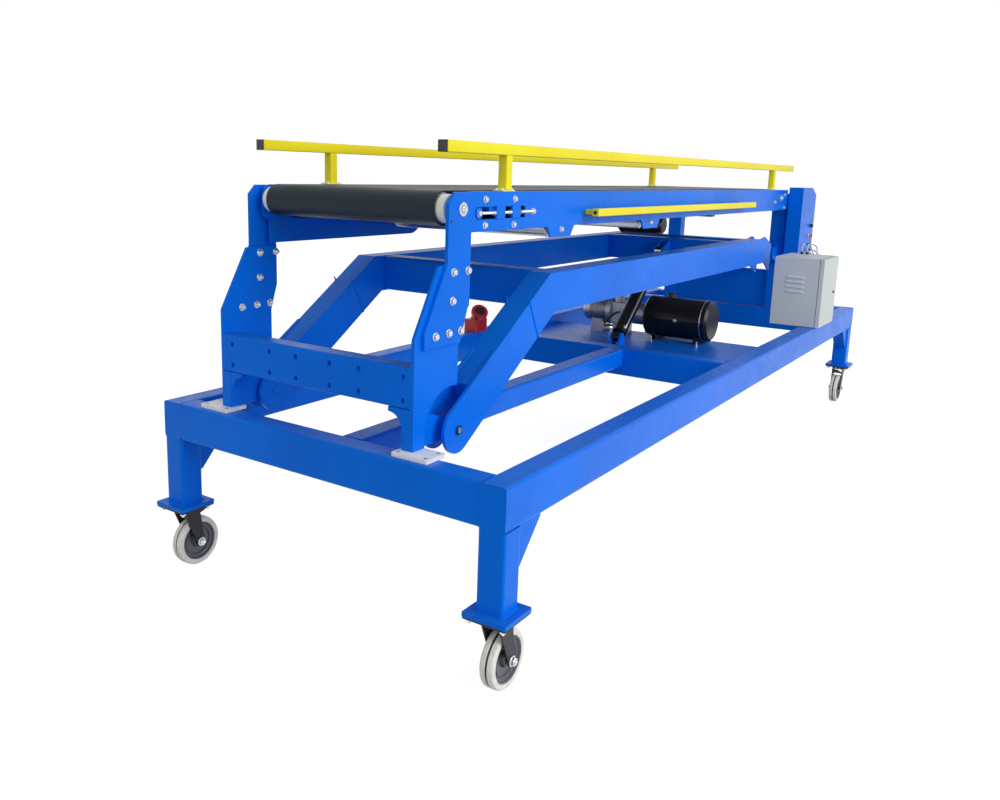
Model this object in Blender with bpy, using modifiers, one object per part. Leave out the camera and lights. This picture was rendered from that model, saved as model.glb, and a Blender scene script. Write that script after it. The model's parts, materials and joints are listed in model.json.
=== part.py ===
"""Mobile vehicle loading conveyor: a belt conveyor on a hydraulic lift linkage and a castered trolley.

X points to the right of someone who faces the machine's front, Y points to its rear, Z points up.
The origin lies on the floor under the middle of the trolley. All sizes are in metres.
"""
import math

import bmesh
import bpy
import numpy as np
from mathutils import Matrix, Vector

# Fits shared by the whole machine
SEAT = 0.0003            # gap between two pieces that bear on each other
PIN_PLAY = 0.0006        # radial play of a pin in its bore
BEND_R = 0.010           # outer corner radius of the rolled tubes

# Trolley
BASE_W = 1.625           # over the long rails
BASE_L = 5.020           # over the end beams
TUBE_W = 0.100           # width of the trolley's tubes
TUBE_H = 0.150           # their height
BASE_TOP = 0.720
LEG_BOTTOM = 0.290       # upper face of the leg plates
LEG_PLATE = 0.165        # side of a leg plate
LEG_PLATE_T = 0.015
CASTER_PLATE_T = 0.008
GUSSET = 0.140           # leg gusset along the rail
GUSSET_H = 0.150
MID_BEAM_Y = 2.280       # front faces of the cross beams, from the trolley's front
REAR_BEAM_Y = 4.500
INNER_RAIL_X = 0.060     # left face of the inner rail
INNER_RAIL_H = 0.100
PAD_W = 0.150
PAD_D = 0.105
PAD_T = 0.014
TRAY_TOP = 0.655         # the power unit's tray hangs between the rails, lower than their tops
TRAY_D = 0.840
TRAY_T = 0.008
TRAY_LIP = 0.050

# Casters
WHEEL_R = 0.1025
TYRE_W = 0.048
HUB_W = 0.052
HUB_R = 0.030
AXLE_R = 0.008
TRAIL = 0.045
FORK_GAP = 0.062         # between the fork's cheeks
FORK_T = 0.006
FORK_TOP = 0.255
SWIVEL_R = 0.045
FRONT_CASTER_TRAILS = 1  # +1 when the wheel lies behind its swivel
REAR_CASTER_TRAILS = -1

# Lift, head and conveyor share this middle plane, left of the trolley's own
MID_X = -0.060

# Lift frame
ARM_W = 0.100
ARM_H = 0.160
ARM_OUT = 0.500          # outer face of an arm from the middle plane
ARM_TOP = 1.270
ARM_SLOPE = math.radians(33.0)
ARM_END_Y = 3.780
KNEE_TUBE_Y = 0.960
MID_TUBE_Y = 3.340
REAR_TUBE_Y = 3.660
CROSS_TUBE_W = 0.100
LUG_R = 0.084
LUG_T = 0.012
LUG_LENGTH = 0.330
LIFT_PIN_Y = 4.420
LIFT_PIN_Z = 1.130
LIFT_PIN_R = 0.020
REAR_LUG_X = 0.375       # a rear lug's middle plane from the machine's
REAR_LUG_T = 0.030
REAR_LUG_R = 0.050

# Head frame
HEAD_PIN_Y = 0.275
HEAD_PIN_Z = 0.770
HEAD_PIN_R = 0.015
HEAD_OUT = 0.480         # outer face of a head plate from the middle plane
HEAD_PLATE_T = 0.012
FOOT_W = 0.060
FOOT_FRONT = 0.060
FOOT_D = 0.100
HEAD_BEAM_TOP = 1.020
HEAD_BEAM_H = 0.160
HEAD_BEAM_D = 0.080
BEAM_HOLE_R = 0.009

# Conveyor
BELT_W = 0.800
BELT_T = 0.0057
ROLLER_R = 0.054
ROLLER_Z = 1.530
FRONT_ROLLER_Y = 0.300
REAR_ROLLER_Y = 4.300
RING_R = 0.049
RING_W = 0.035
SHAFT_R = 0.0125
SHAFT_PLAY = 0.004       # the head plate's hole round the front shaft
SIDE_OUT = 0.452         # outer face of a side plate from the middle plane
SIDE_T = 0.008
SIDE_TOP = 1.587
SIDE_H = 0.140
SIDE_FLANGE = 0.045
SIDE_FRONT = 0.265
SIDE_REAR = 4.465
CHANNEL_FRONT = 0.420
BED_T = 0.008
BED_RIB_H = 0.060
DRIVE_R = 0.055
DRIVE_Z = 1.375
CONVEYOR_PIN_Y = 4.420
CONVEYOR_PIN_Z = 1.490

# Guide rails and bump bars
RAIL_SIDE = 0.040
RAIL_TOP = 1.757
RAIL_X = 0.432
RAIL_FRONT = 0.245
RAIL_REAR = 4.550
RAIL_POST = 0.030
RAIL_POSTS_Y = (0.640, 4.100)
BUMP_H = 0.032
BUMP_OUT = 0.530
BUMP_FRONT = 1.160
BUMP_REAR = 3.480
BUMP_Z = 1.500

# Rear posts, cabinet and control column
POST_W = 0.100
POST_OUT = 0.440
POST_TOP = 1.560
COLUMN_W = 0.120
COLUMN_D = 0.380
COLUMN_TOP = 1.605
COLUMN_BOTTOM = 1.100
CABINET_W = 0.300
CABINET_D = 0.400
CABINET_H = 0.445
CABINET_Y = 3.780
CABINET_RIGHT = 0.830
DOOR_T = 0.020
SHEET_T = 0.002

# Power unit and lift cylinder
UNIT_Y = 3.100
UNIT_Z = 0.795
TANK_R = 0.125
TANK_X = (-0.035, 0.375)
MOTOR_R = 0.077
MOTOR_X = (-0.470, -0.300)
CYL_FOOT_Y = 2.680
CYL_FOOT_Z = 0.705
CYL_EYE_Y = 3.250
CYL_EYE_Z = 1.190
CYL_R = 0.042
ROD_R = 0.020
CYL_PIN_R = 0.014
CYL_EYE_W = 0.040
CLEVIS_T = 0.012
CLEVIS_R = 0.028         # round end of a clevis plate
EYE_PLAY = 0.0045        # the rod's eye drifts on its pin by up to 4 mm over the lift

BLUE = (0.005, 0.130, 0.560, 1.0)
YELLOW = (0.850, 0.620, 0.030, 1.0)
BLACK = (0.020, 0.020, 0.024, 1.0)
WHITE = (0.800, 0.790, 0.750, 1.0)
GREY = (0.480, 0.490, 0.480, 1.0)
STEEL = (0.550, 0.560, 0.580, 1.0)
RED = (0.550, 0.020, 0.030, 1.0)
BELT_BLUE = (0.010, 0.016, 0.028, 1.0)


def y_at(distance):
    """World Y of a point this far behind the trolley's front face."""
    return distance - BASE_L / 2


def clear_scene():
    for item in list(bpy.data.objects):
        bpy.data.objects.remove(item, do_unlink=True)
    for mesh in list(bpy.data.meshes):
        bpy.data.meshes.remove(mesh)


clear_scene()
PARTS = bpy.data.collections.new("loading_conveyor")
CUTTERS = bpy.data.collections.new("cutters")
bpy.context.scene.collection.children.link(PARTS)
bpy.context.scene.collection.children.link(CUTTERS)


def material(name, colour, roughness, metallic=0.0):
    made = bpy.data.materials.new(name)
    made.use_nodes = True
    shader = made.node_tree.nodes["Principled BSDF"]
    shader.inputs["Base Color"].default_value = colour
    shader.inputs["Roughness"].default_value = roughness
    shader.inputs["Metallic"].default_value = metallic
    return made


PAINT = {
    "blue": (BLUE, 0.35, 0.0),
    "yellow": (YELLOW, 0.40, 0.0),
    "black": (BLACK, 0.45, 0.0),
    "white": (WHITE, 0.50, 0.0),
    "grey": (GREY, 0.40, 0.0),
    "steel": (STEEL, 0.30, 1.0),
    "red": (RED, 0.35, 0.0),
    "belt": (BELT_BLUE, 0.55, 0.0),
}


def empty(name, place, parent=None):
    """A joint's own frame: pieces that turn about it are parented here."""
    made = bpy.data.objects.new(name, None)
    made.location = place
    PARTS.objects.link(made)
    if parent is not None:
        made.parent = parent
        made.location = Vector(place) - parent.matrix_world.translation
    bpy.context.view_layer.update()
    return made


def mesh_object(name, bm):
    bmesh.ops.recalc_face_normals(bm, faces=bm.faces)
    mesh = bpy.data.meshes.new(name)
    bm.to_mesh(mesh)
    bm.free()
    made = bpy.data.objects.new(name, mesh)
    CUTTERS.objects.link(made)
    return made


def box(lows, highs, bevel=0.0, along=None, segments=2):
    """A block between two corners; its edges along one axis, or all of them, are rounded."""
    lows = Vector(lows)
    highs = Vector(highs)
    bm = bmesh.new()
    bmesh.ops.create_cube(bm, size=1.0)
    bmesh.ops.scale(bm, vec=highs - lows, verts=bm.verts)
    bmesh.ops.translate(bm, vec=(lows + highs) / 2, verts=bm.verts)
    if bevel > 0:
        edges = [e for e in bm.edges if along is None or abs((e.verts[0].co - e.verts[1].co)[along]) > 1e-6]
        bmesh.ops.bevel(bm, geom=edges, offset=bevel, segments=segments, profile=0.5, affect="EDGES")
    return mesh_object("block", bm)


def cylinder(start, end, radius, sides=24):
    """A round bar between two points."""
    start = Vector(start)
    end = Vector(end)
    bm = bmesh.new()
    bmesh.ops.create_cone(bm, cap_ends=True, segments=sides, radius1=radius, radius2=radius,
                          depth=(end - start).length)
    turn = (end - start).to_track_quat("Z", "Y").to_matrix().to_4x4()
    bmesh.ops.transform(bm, matrix=Matrix.Translation((start + end) / 2) @ turn, verts=bm.verts)
    return mesh_object("bar", bm)


def arc(centre, radius, start, stop, steps):
    """Points on an arc, angles in degrees from +Y towards +Z."""
    turns = np.radians(np.linspace(start, stop, steps + 1))
    return [(centre[0] + radius * math.cos(t), centre[1] + radius * math.sin(t)) for t in turns]


def plate(outline, x_low, x_high, holes=()):
    """A sheet cut to an outline in the Y-Z plane, with holes, as thick as from x_low to x_high."""
    curve = bpy.data.curves.new("outline", "CURVE")
    curve.dimensions = "2D"
    curve.fill_mode = "BOTH"
    curve.extrude = (x_high - x_low) / 2
    for loop in (outline, *holes):
        spline = curve.splines.new("POLY")
        spline.points.add(len(loop) - 1)
        spline.points.foreach_set("co", [c for y, z in loop for c in (y, z, 0.0, 1.0)])
        spline.use_cyclic_u = True
    drawn = bpy.data.objects.new("outline", curve)
    CUTTERS.objects.link(drawn)
    bpy.context.view_layer.update()
    graph = bpy.context.evaluated_depsgraph_get()
    mesh = bpy.data.meshes.new_from_object(drawn.evaluated_get(graph))
    bpy.data.objects.remove(drawn, do_unlink=True)
    bm = bmesh.new()
    bm.from_mesh(mesh)
    bmesh.ops.remove_doubles(bm, verts=bm.verts, dist=1e-5)
    bmesh.ops.dissolve_limit(bm, angle_limit=0.002, verts=bm.verts, edges=bm.edges)
    stand = Matrix(((0, 0, 1, (x_low + x_high) / 2), (1, 0, 0, 0), (0, 1, 0, 0), (0, 0, 0, 1)))
    bmesh.ops.transform(bm, matrix=stand, verts=bm.verts)
    return mesh_object("plate", bm)


def turned(profile, centre, steps=32, closed=True):
    """A shape turned about the X axis: profile points are (x, radius) from the centre."""
    bm = bmesh.new()
    ring = [bm.verts.new((x, 0.0, r)) for x, r in profile]
    last = len(ring) if closed else len(ring) - 1
    for i in range(last):
        bm.edges.new((ring[i], ring[(i + 1) % len(ring)]))
    mesh = bpy.data.meshes.new("profile")
    bm.to_mesh(mesh)
    bm.free()
    spun = bpy.data.objects.new("profile", mesh)
    CUTTERS.objects.link(spun)
    screw = spun.modifiers.new("turn", "SCREW")
    screw.axis = "X"
    screw.steps = steps
    screw.render_steps = steps
    screw.use_merge_vertices = True
    screw.merge_threshold = 0.00001
    solid = baked(spun)
    solid.data.transform(Matrix.Translation(centre))
    return solid


def baked(item):
    """The object's evaluated mesh as a new plain mesh, with its faces pointing out."""
    bpy.context.view_layer.update()
    graph = bpy.context.evaluated_depsgraph_get()
    mesh = bpy.data.meshes.new_from_object(item.evaluated_get(graph))
    bm = bmesh.new()
    bm.from_mesh(mesh)
    made = mesh_object(item.name, bm)
    bpy.data.objects.remove(item, do_unlink=True)
    return made


def combine(first, others, how):
    for other in others:
        step = first.modifiers.new(how.lower(), "BOOLEAN")
        step.operation = how
        step.solver = "EXACT"
        step.object = other
    made = baked(first)
    for other in others:
        bpy.data.objects.remove(other, do_unlink=True)
    return made


def fuse(first, *others):
    return combine(first, others, "UNION")


def cut(first, *others):
    return combine(first, others, "DIFFERENCE")


def finish(name, item, paint, parent):
    """Names a finished solid, gives it its paint and hangs it on its joint's frame."""
    colour, roughness, metallic = PAINT[paint]
    item.name = name
    item.data.name = name
    item.data.materials.clear()
    item.data.materials.append(material(name, colour, roughness, metallic))
    item.data.shade_smooth()
    item.data.set_sharp_from_angle(angle=math.radians(35))
    CUTTERS.objects.unlink(item)
    PARTS.objects.link(item)
    place = parent.matrix_world.translation.copy()
    item.data.transform(Matrix.Translation(-place))
    item.parent = parent
    item.location = (0, 0, 0)
    return item


def mirrored(x):
    """The same distance on the other side of the machine's middle plane."""
    return 2 * MID_X - x


def span(side, inner, outer):
    """X range between two distances from the middle plane, on the right (+1) or left (-1)."""
    a = MID_X + side * inner
    b = MID_X + side * outer
    return min(a, b), max(a, b)


SIDES = (("right", 1), ("left", -1))

# Joint frames
trolley = empty("trolley", (0, 0, 0))
lift = empty("lift", (MID_X, y_at(LIFT_PIN_Y), LIFT_PIN_Z), trolley)
head = empty("head", (MID_X, y_at(HEAD_PIN_Y), HEAD_PIN_Z), lift)
conveyor = empty("conveyor", (MID_X, y_at(CONVEYOR_PIN_Y), CONVEYOR_PIN_Z), trolley)
barrel = empty("barrel", (MID_X, y_at(CYL_FOOT_Y), CYL_FOOT_Z), trolley)
rod = empty("rod", (MID_X, y_at(CYL_EYE_Y), CYL_EYE_Z), barrel)


def round_hole(y, z, radius, steps=24):
    return arc((y, z), radius, 0, 360 * (steps - 1) / steps, steps - 1)


# Trolley frame
def build_trolley():
    half = BASE_W / 2
    bottom = BASE_TOP - TUBE_H
    front, rear = y_at(0), y_at(BASE_L)
    for name, side in SIDES:
        x0, x1 = sorted((side * (half - TUBE_W), side * half))
        finish(f"base_rail_{name}", box((x0, front, bottom), (x1, rear, BASE_TOP), BEND_R, 1), "blue", trolley)
    inside = half - TUBE_W - SEAT
    beams = (("front", 0.0), ("mid", MID_BEAM_Y), ("rear", REAR_BEAM_Y), ("end", BASE_L - TUBE_W))
    for name, start in beams:
        finish(f"base_beam_{name}",
               box((-inside, y_at(start), bottom), (inside, y_at(start + TUBE_W), BASE_TOP), BEND_R, 0),
               "blue", trolley)
    finish("base_rail_inner",
           box((INNER_RAIL_X, y_at(TUBE_W) + SEAT, BASE_TOP - INNER_RAIL_H),
               (INNER_RAIL_X + TUBE_W, y_at(MID_BEAM_Y) - SEAT, BASE_TOP), BEND_R, 1),
           "blue", trolley)


def build_leg(name, side, end):
    """A leg with its gusset, its welded foot plate and the caster's bolted plate."""
    half = BASE_W / 2
    rail_bottom = BASE_TOP - TUBE_H - SEAT
    near = y_at(0) if end < 0 else y_at(BASE_L)
    x_mid = side * (half - TUBE_W / 2)
    y_mid = near - end * TUBE_W / 2
    x0, x1 = x_mid - TUBE_W / 2, x_mid + TUBE_W / 2
    post = box((x0, y_mid - TUBE_W / 2, LEG_BOTTOM - 0.001), (x1, y_mid + TUBE_W / 2, rail_bottom), BEND_R, 2)
    face = near - end * TUBE_W
    lap = end * 0.012
    web = plate([(face + lap, rail_bottom), (face - end * GUSSET, rail_bottom),
                 (face - end * GUSSET, rail_bottom - 0.012), (face - end * 0.012, rail_bottom - GUSSET_H),
                 (face + lap, rail_bottom - GUSSET_H)], x0 + 0.012, x1 - 0.012)
    reach = LEG_PLATE / 2
    low = LEG_BOTTOM - LEG_PLATE_T
    sole = box((x_mid - reach, y_mid - reach, low), (x_mid + reach, y_mid + reach, LEG_BOTTOM), 0.004, 2, 1)
    grip = reach - 0.012
    mount = box((x_mid - grip, y_mid - grip, low - CASTER_PLATE_T),
                (x_mid + grip, y_mid + grip, low + 0.001), 0.004, 2, 1)
    finish(f"leg_{name}", fuse(post, web, sole, mount), "blue", trolley)


def fork_cheek(x_low, x_high, trail):
    """One side plate of a caster fork: wide at the crown, round about the axle."""
    crown = [(0.040, FORK_TOP), (-0.040, FORK_TOP)] if trail > 0 else [(0.040, FORK_TOP), (-0.040, FORK_TOP)]
    foot = arc((trail, WHEEL_R), 0.020, 180, 360, 8)
    return plate(crown + foot, x_low, x_high)


def build_caster(name, side, end, braked):
    x = side * (BASE_W / 2 - TUBE_W / 2)
    y = y_at(TUBE_W / 2) if end < 0 else y_at(BASE_L - TUBE_W / 2)
    trail = TRAIL * (FRONT_CASTER_TRAILS if end < 0 else REAR_CASTER_TRAILS)
    swivel = empty(f"swivel_{name}", (x, y, FORK_TOP), trolley)
    hub = empty(f"axle_{name}", (x, y + trail, WHEEL_R), swivel)
    plate_bottom = LEG_BOTTOM - LEG_PLATE_T - CASTER_PLATE_T
    inner = FORK_GAP / 2
    cheeks = []
    for low, high in ((-inner - FORK_T, -inner), (inner, inner + FORK_T)):
        cheek = fork_cheek(low, high, trail)
        cheek.data.transform(Matrix.Translation((x, y, 0)))
        cheeks.append(cheek)
    crown = box((x - inner - FORK_T, y - 0.042, FORK_TOP - FORK_T), (x + inner + FORK_T, y + 0.042, FORK_TOP + 0.001))
    race = cylinder((x, y, FORK_TOP - 0.002), (x, y, plate_bottom - SEAT), SWIVEL_R, 24)
    reach = inner + FORK_T + 0.008
    axle = cylinder((x - reach, y + trail, WHEEL_R), (x + reach, y + trail, WHEEL_R), AXLE_R, 12)
    pieces = [cheeks[1], crown, race, axle]
    if braked:
        pedal = plate([(trail * 0.4, 0.225), (trail + math.copysign(0.030, trail), 0.245),
                       (trail + math.copysign(0.085, trail), 0.262),
                       (trail + math.copysign(0.085, trail), 0.252), (trail + math.copysign(0.030, trail), 0.228),
                       (trail * 0.4, 0.212)], -0.022, 0.022)
        pedal.data.transform(Matrix.Translation((x, y, 0)))
        ears = box((x - inner - FORK_T, y + trail * 0.4 - 0.006, 0.214), (x + inner + FORK_T, y + trail * 0.4 + 0.006, 0.224))
        pieces += [pedal, ears]
    finish(f"caster_fork_{name}", fuse(cheeks[0], *pieces), "black", swivel)
    bore = AXLE_R + PIN_PLAY
    half_tyre, half_hub = TYRE_W / 2, HUB_W / 2
    profile = [(-half_hub, bore), (-half_hub, HUB_R * 0.6), (-half_hub + 0.008, HUB_R), (-half_tyre * 0.55, 0.062),
               (-half_tyre * 0.8, 0.078), (-half_tyre, 0.086), (-half_tyre, WHEEL_R - 0.010),
               (-half_tyre + 0.008, WHEEL_R), (half_tyre - 0.008, WHEEL_R), (half_tyre, WHEEL_R - 0.010),
               (half_tyre, 0.086), (half_tyre * 0.8, 0.078), (half_tyre * 0.55, 0.062),
               (half_hub - 0.008, HUB_R), (half_hub, HUB_R * 0.6), (half_hub, bore)]
    finish(f"caster_wheel_{name}", turned(profile, (x, y + trail, WHEEL_R), 32), "white", hub)


def build_rear_posts():
    """Posts behind the conveyor, with lugs for the lift frame's pin and the conveyor's pin."""
    front = y_at(REAR_BEAM_Y)
    for name, side in SIDES:
        x0, x1 = span(side, POST_OUT - POST_W, POST_OUT)
        post = box((x0, front, BASE_TOP + SEAT), (x1, front + POST_W, POST_TOP), BEND_R, 2)
        pieces = []
        gap = REAR_LUG_T / 2 + 0.006
        centre = MID_X + side * REAR_LUG_X
        pin_y = y_at(LIFT_PIN_Y)
        for low, high in ((centre - gap - CLEVIS_T, centre - gap), (centre + gap, centre + gap + CLEVIS_T)):
            tip = arc((pin_y, LIFT_PIN_Z), 0.042, 270, 90, 10)
            pieces.append(plate([(front + 0.005, LIFT_PIN_Z - 0.070)] + tip + [(front + 0.005, LIFT_PIN_Z + 0.070)],
                                low, high))
        pieces.append(cylinder((centre - gap - 0.006, pin_y, LIFT_PIN_Z), (centre + gap + 0.006, pin_y, LIFT_PIN_Z),
                               LIFT_PIN_R, 24))
        a, b = span(side, SIDE_OUT - SIDE_T - 0.022, SIDE_OUT - SIDE_T - 0.006)
        pin_y, pin_z = y_at(CONVEYOR_PIN_Y), CONVEYOR_PIN_Z
        tip = arc((pin_y, pin_z), 0.030, 270, 90, 8)
        pieces.append(plate([(front + 0.005, pin_z - 0.045)] + tip + [(front + 0.005, pin_z + 0.045)], a, b))
        reach = MID_X + side * (SIDE_OUT + 0.006)
        pieces.append(cylinder((MID_X + side * (SIDE_OUT - SIDE_T - 0.015), pin_y, pin_z), (reach, pin_y, pin_z),
                               HEAD_PIN_R, 16))
        finish(f"rear_post_{name}", fuse(post, *pieces), "blue", trolley)


def build_pads_and_tray():
    for name, side in SIDES:
        mid = MID_X + side * (HEAD_OUT - FOOT_W / 2 + 0.030)
        low = BASE_TOP + SEAT
        pad = box((mid - PAD_W / 2, y_at(0.022), low), (mid + PAD_W / 2, y_at(0.022 + PAD_D), low + PAD_T), 0.004, 2, 1)
        finish(f"stop_pad_{name}", pad, "white", trolley)
    inside = BASE_W / 2 - TUBE_W - SEAT
    start = y_at(MID_BEAM_Y + TUBE_W) + SEAT
    floor = box((-inside, start, TRAY_TOP - TRAY_T), (inside, start + TRAY_D, TRAY_TOP))
    lip = box((-inside, start + TRAY_D - TRAY_T, TRAY_TOP - TRAY_LIP), (inside, start + TRAY_D, TRAY_TOP - 0.001))
    foot_z, foot_y = CYL_FOOT_Z, y_at(CYL_FOOT_Y)
    pieces = [lip]
    gap = CYL_EYE_W / 2 + 0.002
    for low, high in ((MID_X - gap - CLEVIS_T, MID_X - gap), (MID_X + gap, MID_X + gap + CLEVIS_T)):
        tip = arc((foot_y, foot_z), CLEVIS_R, 0, 180, 8)
        pieces.append(plate([(foot_y - 0.045, TRAY_TOP - 0.004), (foot_y + 0.045, TRAY_TOP - 0.004)] + tip, low, high))
    pieces.append(cylinder((MID_X - gap - 0.006, foot_y, foot_z), (MID_X + gap + 0.006, foot_y, foot_z), CYL_PIN_R, 16))
    finish("power_tray", fuse(floor, *pieces), "blue", trolley)


def build_power_unit():
    y, z = y_at(UNIT_Y), UNIT_Z
    x0, x1 = TANK_X
    round_end = 0.015
    tank = turned([(x0, 0.0), (x0, TANK_R - round_end), (x0 + round_end, TANK_R), (x1 - round_end, TANK_R),
                   (x1, TANK_R - round_end), (x1, 0.0)], (0, y, z), 40, closed=False)
    feet = [box((x - 0.015, y - 0.090, TRAY_TOP + SEAT), (x + 0.015, y + 0.090, z - TANK_R * 0.72))
            for x in (x0 + 0.070, x1 - 0.070)]
    finish("hydraulic_tank", fuse(tank, *feet), "black", trolley)
    x0, x1 = MOTOR_X[1], TANK_X[0]
    flange = cylinder((x0 + SEAT, y, z), (x0 + 0.030, y, z), MOTOR_R + 0.010, 32)
    block = box((x0 + 0.025, y - 0.060, z - 0.070), (x0 + 0.150, y + 0.060, z + 0.065), 0.004, None, 1)
    neck = cylinder((x0 + 0.140, y, z), (x1 - SEAT, y, z), 0.070, 32)
    foot = box((x0 + 0.040, y - 0.050, TRAY_TOP + SEAT), (x0 + 0.130, y + 0.050, z - 0.060))
    valves = [cylinder((x0 + 0.060, y + d, z + 0.060), (x0 + 0.060, y + d, z + 0.125), 0.019, 16) for d in (-0.030, 0.030)]
    finish("valve_block", fuse(block, flange, neck, foot, *valves), "grey", trolley)
    x0, x1 = MOTOR_X
    body = turned([(x0, 0.0), (x0, MOTOR_R - 0.016), (x0 + 0.016, MOTOR_R - 0.004), (x0 + 0.040, MOTOR_R - 0.004),
                   (x0 + 0.042, MOTOR_R), (x1, MOTOR_R), (x1, 0.0)], (0, y, z), 36, closed=False)
    foot = box((x0 + 0.060, y - 0.060, TRAY_TOP + SEAT), (x1 - 0.030, y + 0.060, z - MOTOR_R * 0.6))
    finish("pump_motor", fuse(body, foot), "steel", trolley)


def build_cylinder():
    """Lift cylinder: its foot pins to the tray and its rod's eye to the lift frame's middle tube."""
    a = Vector((MID_X, y_at(CYL_FOOT_Y), CYL_FOOT_Z))
    b = Vector((MID_X, y_at(CYL_EYE_Y), CYL_EYE_Z))
    way = (b - a).normalized()
    half = CYL_EYE_W / 2
    x = Vector((half, 0, 0))
    eye = cylinder(a - x, a + x, CLEVIS_R + 0.002, 24)
    bore = cylinder(a - x * 2, a + x * 2, CYL_PIN_R + PIN_PLAY, 16)
    neck = cylinder(a + way * 0.017, a + way * 0.040, 0.018, 20)
    shell = cylinder(a + way * (CLEVIS_R + 0.006), a + way * 0.470, CYL_R, 28)
    gland = cylinder(a + way * 0.455, a + way * 0.495, CYL_R + 0.004, 28)
    slide = cylinder(a + way * 0.080, a + way * 0.520, ROD_R + PIN_PLAY, 24)
    solid = cut(fuse(eye, neck, shell, gland), bore, slide)
    finish("lift_cylinder", solid, "black", barrel)
    eye = cylinder(b - x, b + x, CLEVIS_R, 24)
    bore = cylinder(b - x * 2, b + x * 2, CYL_PIN_R + EYE_PLAY, 16)
    stem = cylinder(a + way * 0.120, b - way * 0.022, ROD_R, 24)
    finish("lift_rod", cut(fuse(eye, stem), bore), "steel", rod)


def build_cabinet():
    """Sheet-metal switch cabinet on the right rail, its door on the outer side, hung at its rear edge."""
    x1 = CABINET_RIGHT - DOOR_T - SEAT
    x0 = CABINET_RIGHT - CABINET_W
    y0, y1 = y_at(CABINET_Y), y_at(CABINET_Y + CABINET_D)
    z0 = BASE_TOP + SEAT
    z1 = z0 + CABINET_H
    shell = box((x0, y0, z0), (x1, y1, z1), 0.004, 0, 1)
    hollow = box((x0 + SHEET_T, y0 + SHEET_T, z0 + SHEET_T), (x1 + 0.01, y1 - SHEET_T, z1 - SHEET_T))
    louvres = []
    for row in range(4):
        z = z0 + CABINET_H * (0.50 + 0.07 * row)
        louvres.append(box((x0 + 0.080, y0 - 0.004, z), (x0 + 0.190, y0 + 0.010, z + 0.006)))
    back = box((x0 + 0.030, y0 + 0.040, z0 + 0.040), (x0 + 0.034, y1 - 0.040, z1 - 0.040))
    stud = box((x0 + 0.001, (y0 + y1) / 2 - 0.020, (z0 + z1) / 2 - 0.020),
               (x0 + 0.031, (y0 + y1) / 2 + 0.020, (z0 + z1) / 2 + 0.020))
    finish("cabinet_body", fuse(cut(shell, hollow, *louvres), stud, back), "grey", trolley)
    hinge = empty("cabinet_hinge", (CABINET_RIGHT, y1, z0), trolley)
    leaf = box((x1 + SEAT, y0 + 0.001, z0 + 0.002), (CABINET_RIGHT, y1 - 0.001, z1 - 0.002), 0.004, 0, 1)
    panel = box((x1 - 0.002, y0 + 0.010, z0 + 0.011), (CABINET_RIGHT - SHEET_T, y1 - 0.010, z1 - 0.011))
    finish("cabinet_door", cut(leaf, panel), "grey", hinge)


def build_column():
    """Control column on the outer side of the right rear post, its rear top edge cut off."""
    x0 = MID_X + POST_OUT + SEAT
    y0 = y_at(REAR_BEAM_Y - 0.040)
    y1 = y0 + COLUMN_D
    outline = [(y0, COLUMN_BOTTOM), (y1, COLUMN_BOTTOM), (y1, COLUMN_TOP - 0.050), (y1 - 0.120, COLUMN_TOP), (y0, COLUMN_TOP)]
    shell = plate(outline, x0 + 0.022, x0 + COLUMN_W)
    seat = box((x0, y_at(REAR_BEAM_Y) + 0.010, COLUMN_BOTTOM + 0.040),
               (x0 + 0.030, y_at(REAR_BEAM_Y) + POST_W - 0.010, COLUMN_TOP - 0.080))
    face = x0 + COLUMN_W
    knob = cylinder((face - 0.003, y0 + 0.240, 1.380), (face + 0.018, y0 + 0.240, 1.380), 0.014, 16)
    buttons = [cylinder((face - 0.003, y0 + d, 1.300), (face + 0.014, y0 + d, 1.300), 0.016, 16) for d in (0.190, 0.250)]
    finish("control_column", fuse(shell, seat, knob, *buttons), "blue", trolley)


def build_inlet():
    """Surface-mounted supply inlet on top of the left rail."""
    x = -(BASE_W - TUBE_W) / 2
    y = y_at(2.200)
    base = box((x - 0.045, y - 0.060, BASE_TOP + SEAT), (x + 0.045, y + 0.060, BASE_TOP + 0.075), 0.008, 2)
    way = Vector((0.55, -0.45, 0.70)).normalized()
    centre = Vector((x, y, BASE_TOP + 0.055))
    socket = cylinder(centre, centre + way * 0.105, 0.038, 24)
    collar = cylinder(centre + way * 0.080, centre + way * 0.110, 0.046, 24)
    mouth = cylinder(centre + way * 0.070, centre + way * 0.140, 0.031, 24)
    finish("power_inlet", cut(fuse(base, socket, collar), mouth), "red", trolley)


# Lift frame
def arm_outline():
    """Side outline of an arm's tube: level from the rear to the knee, then down towards the head pin."""
    top, bottom = ARM_TOP, ARM_TOP - ARM_H
    slope = math.tan(ARM_SLOPE)
    half = ARM_H / 2 / math.cos(ARM_SLOPE)
    pin_y, pin_z = y_at(HEAD_PIN_Y), HEAD_PIN_Z
    knee_top = pin_y + (top - (pin_z + half)) / slope
    knee_bottom = pin_y + (bottom - (pin_z - half)) / slope
    along = Vector((math.cos(ARM_SLOPE), math.sin(ARM_SLOPE)))
    across = Vector((-math.sin(ARM_SLOPE), math.cos(ARM_SLOPE)))
    toe = Vector((pin_y, pin_z)) + along * (LUG_R + 0.060)
    toe_top = toe + across * ARM_H / 2
    toe_bottom = toe - across * ARM_H / 2
    rear = y_at(ARM_END_Y)
    return [(rear, bottom), (rear, top), (knee_top, top), tuple(toe_top), tuple(toe_bottom), (knee_bottom, bottom)]


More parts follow.
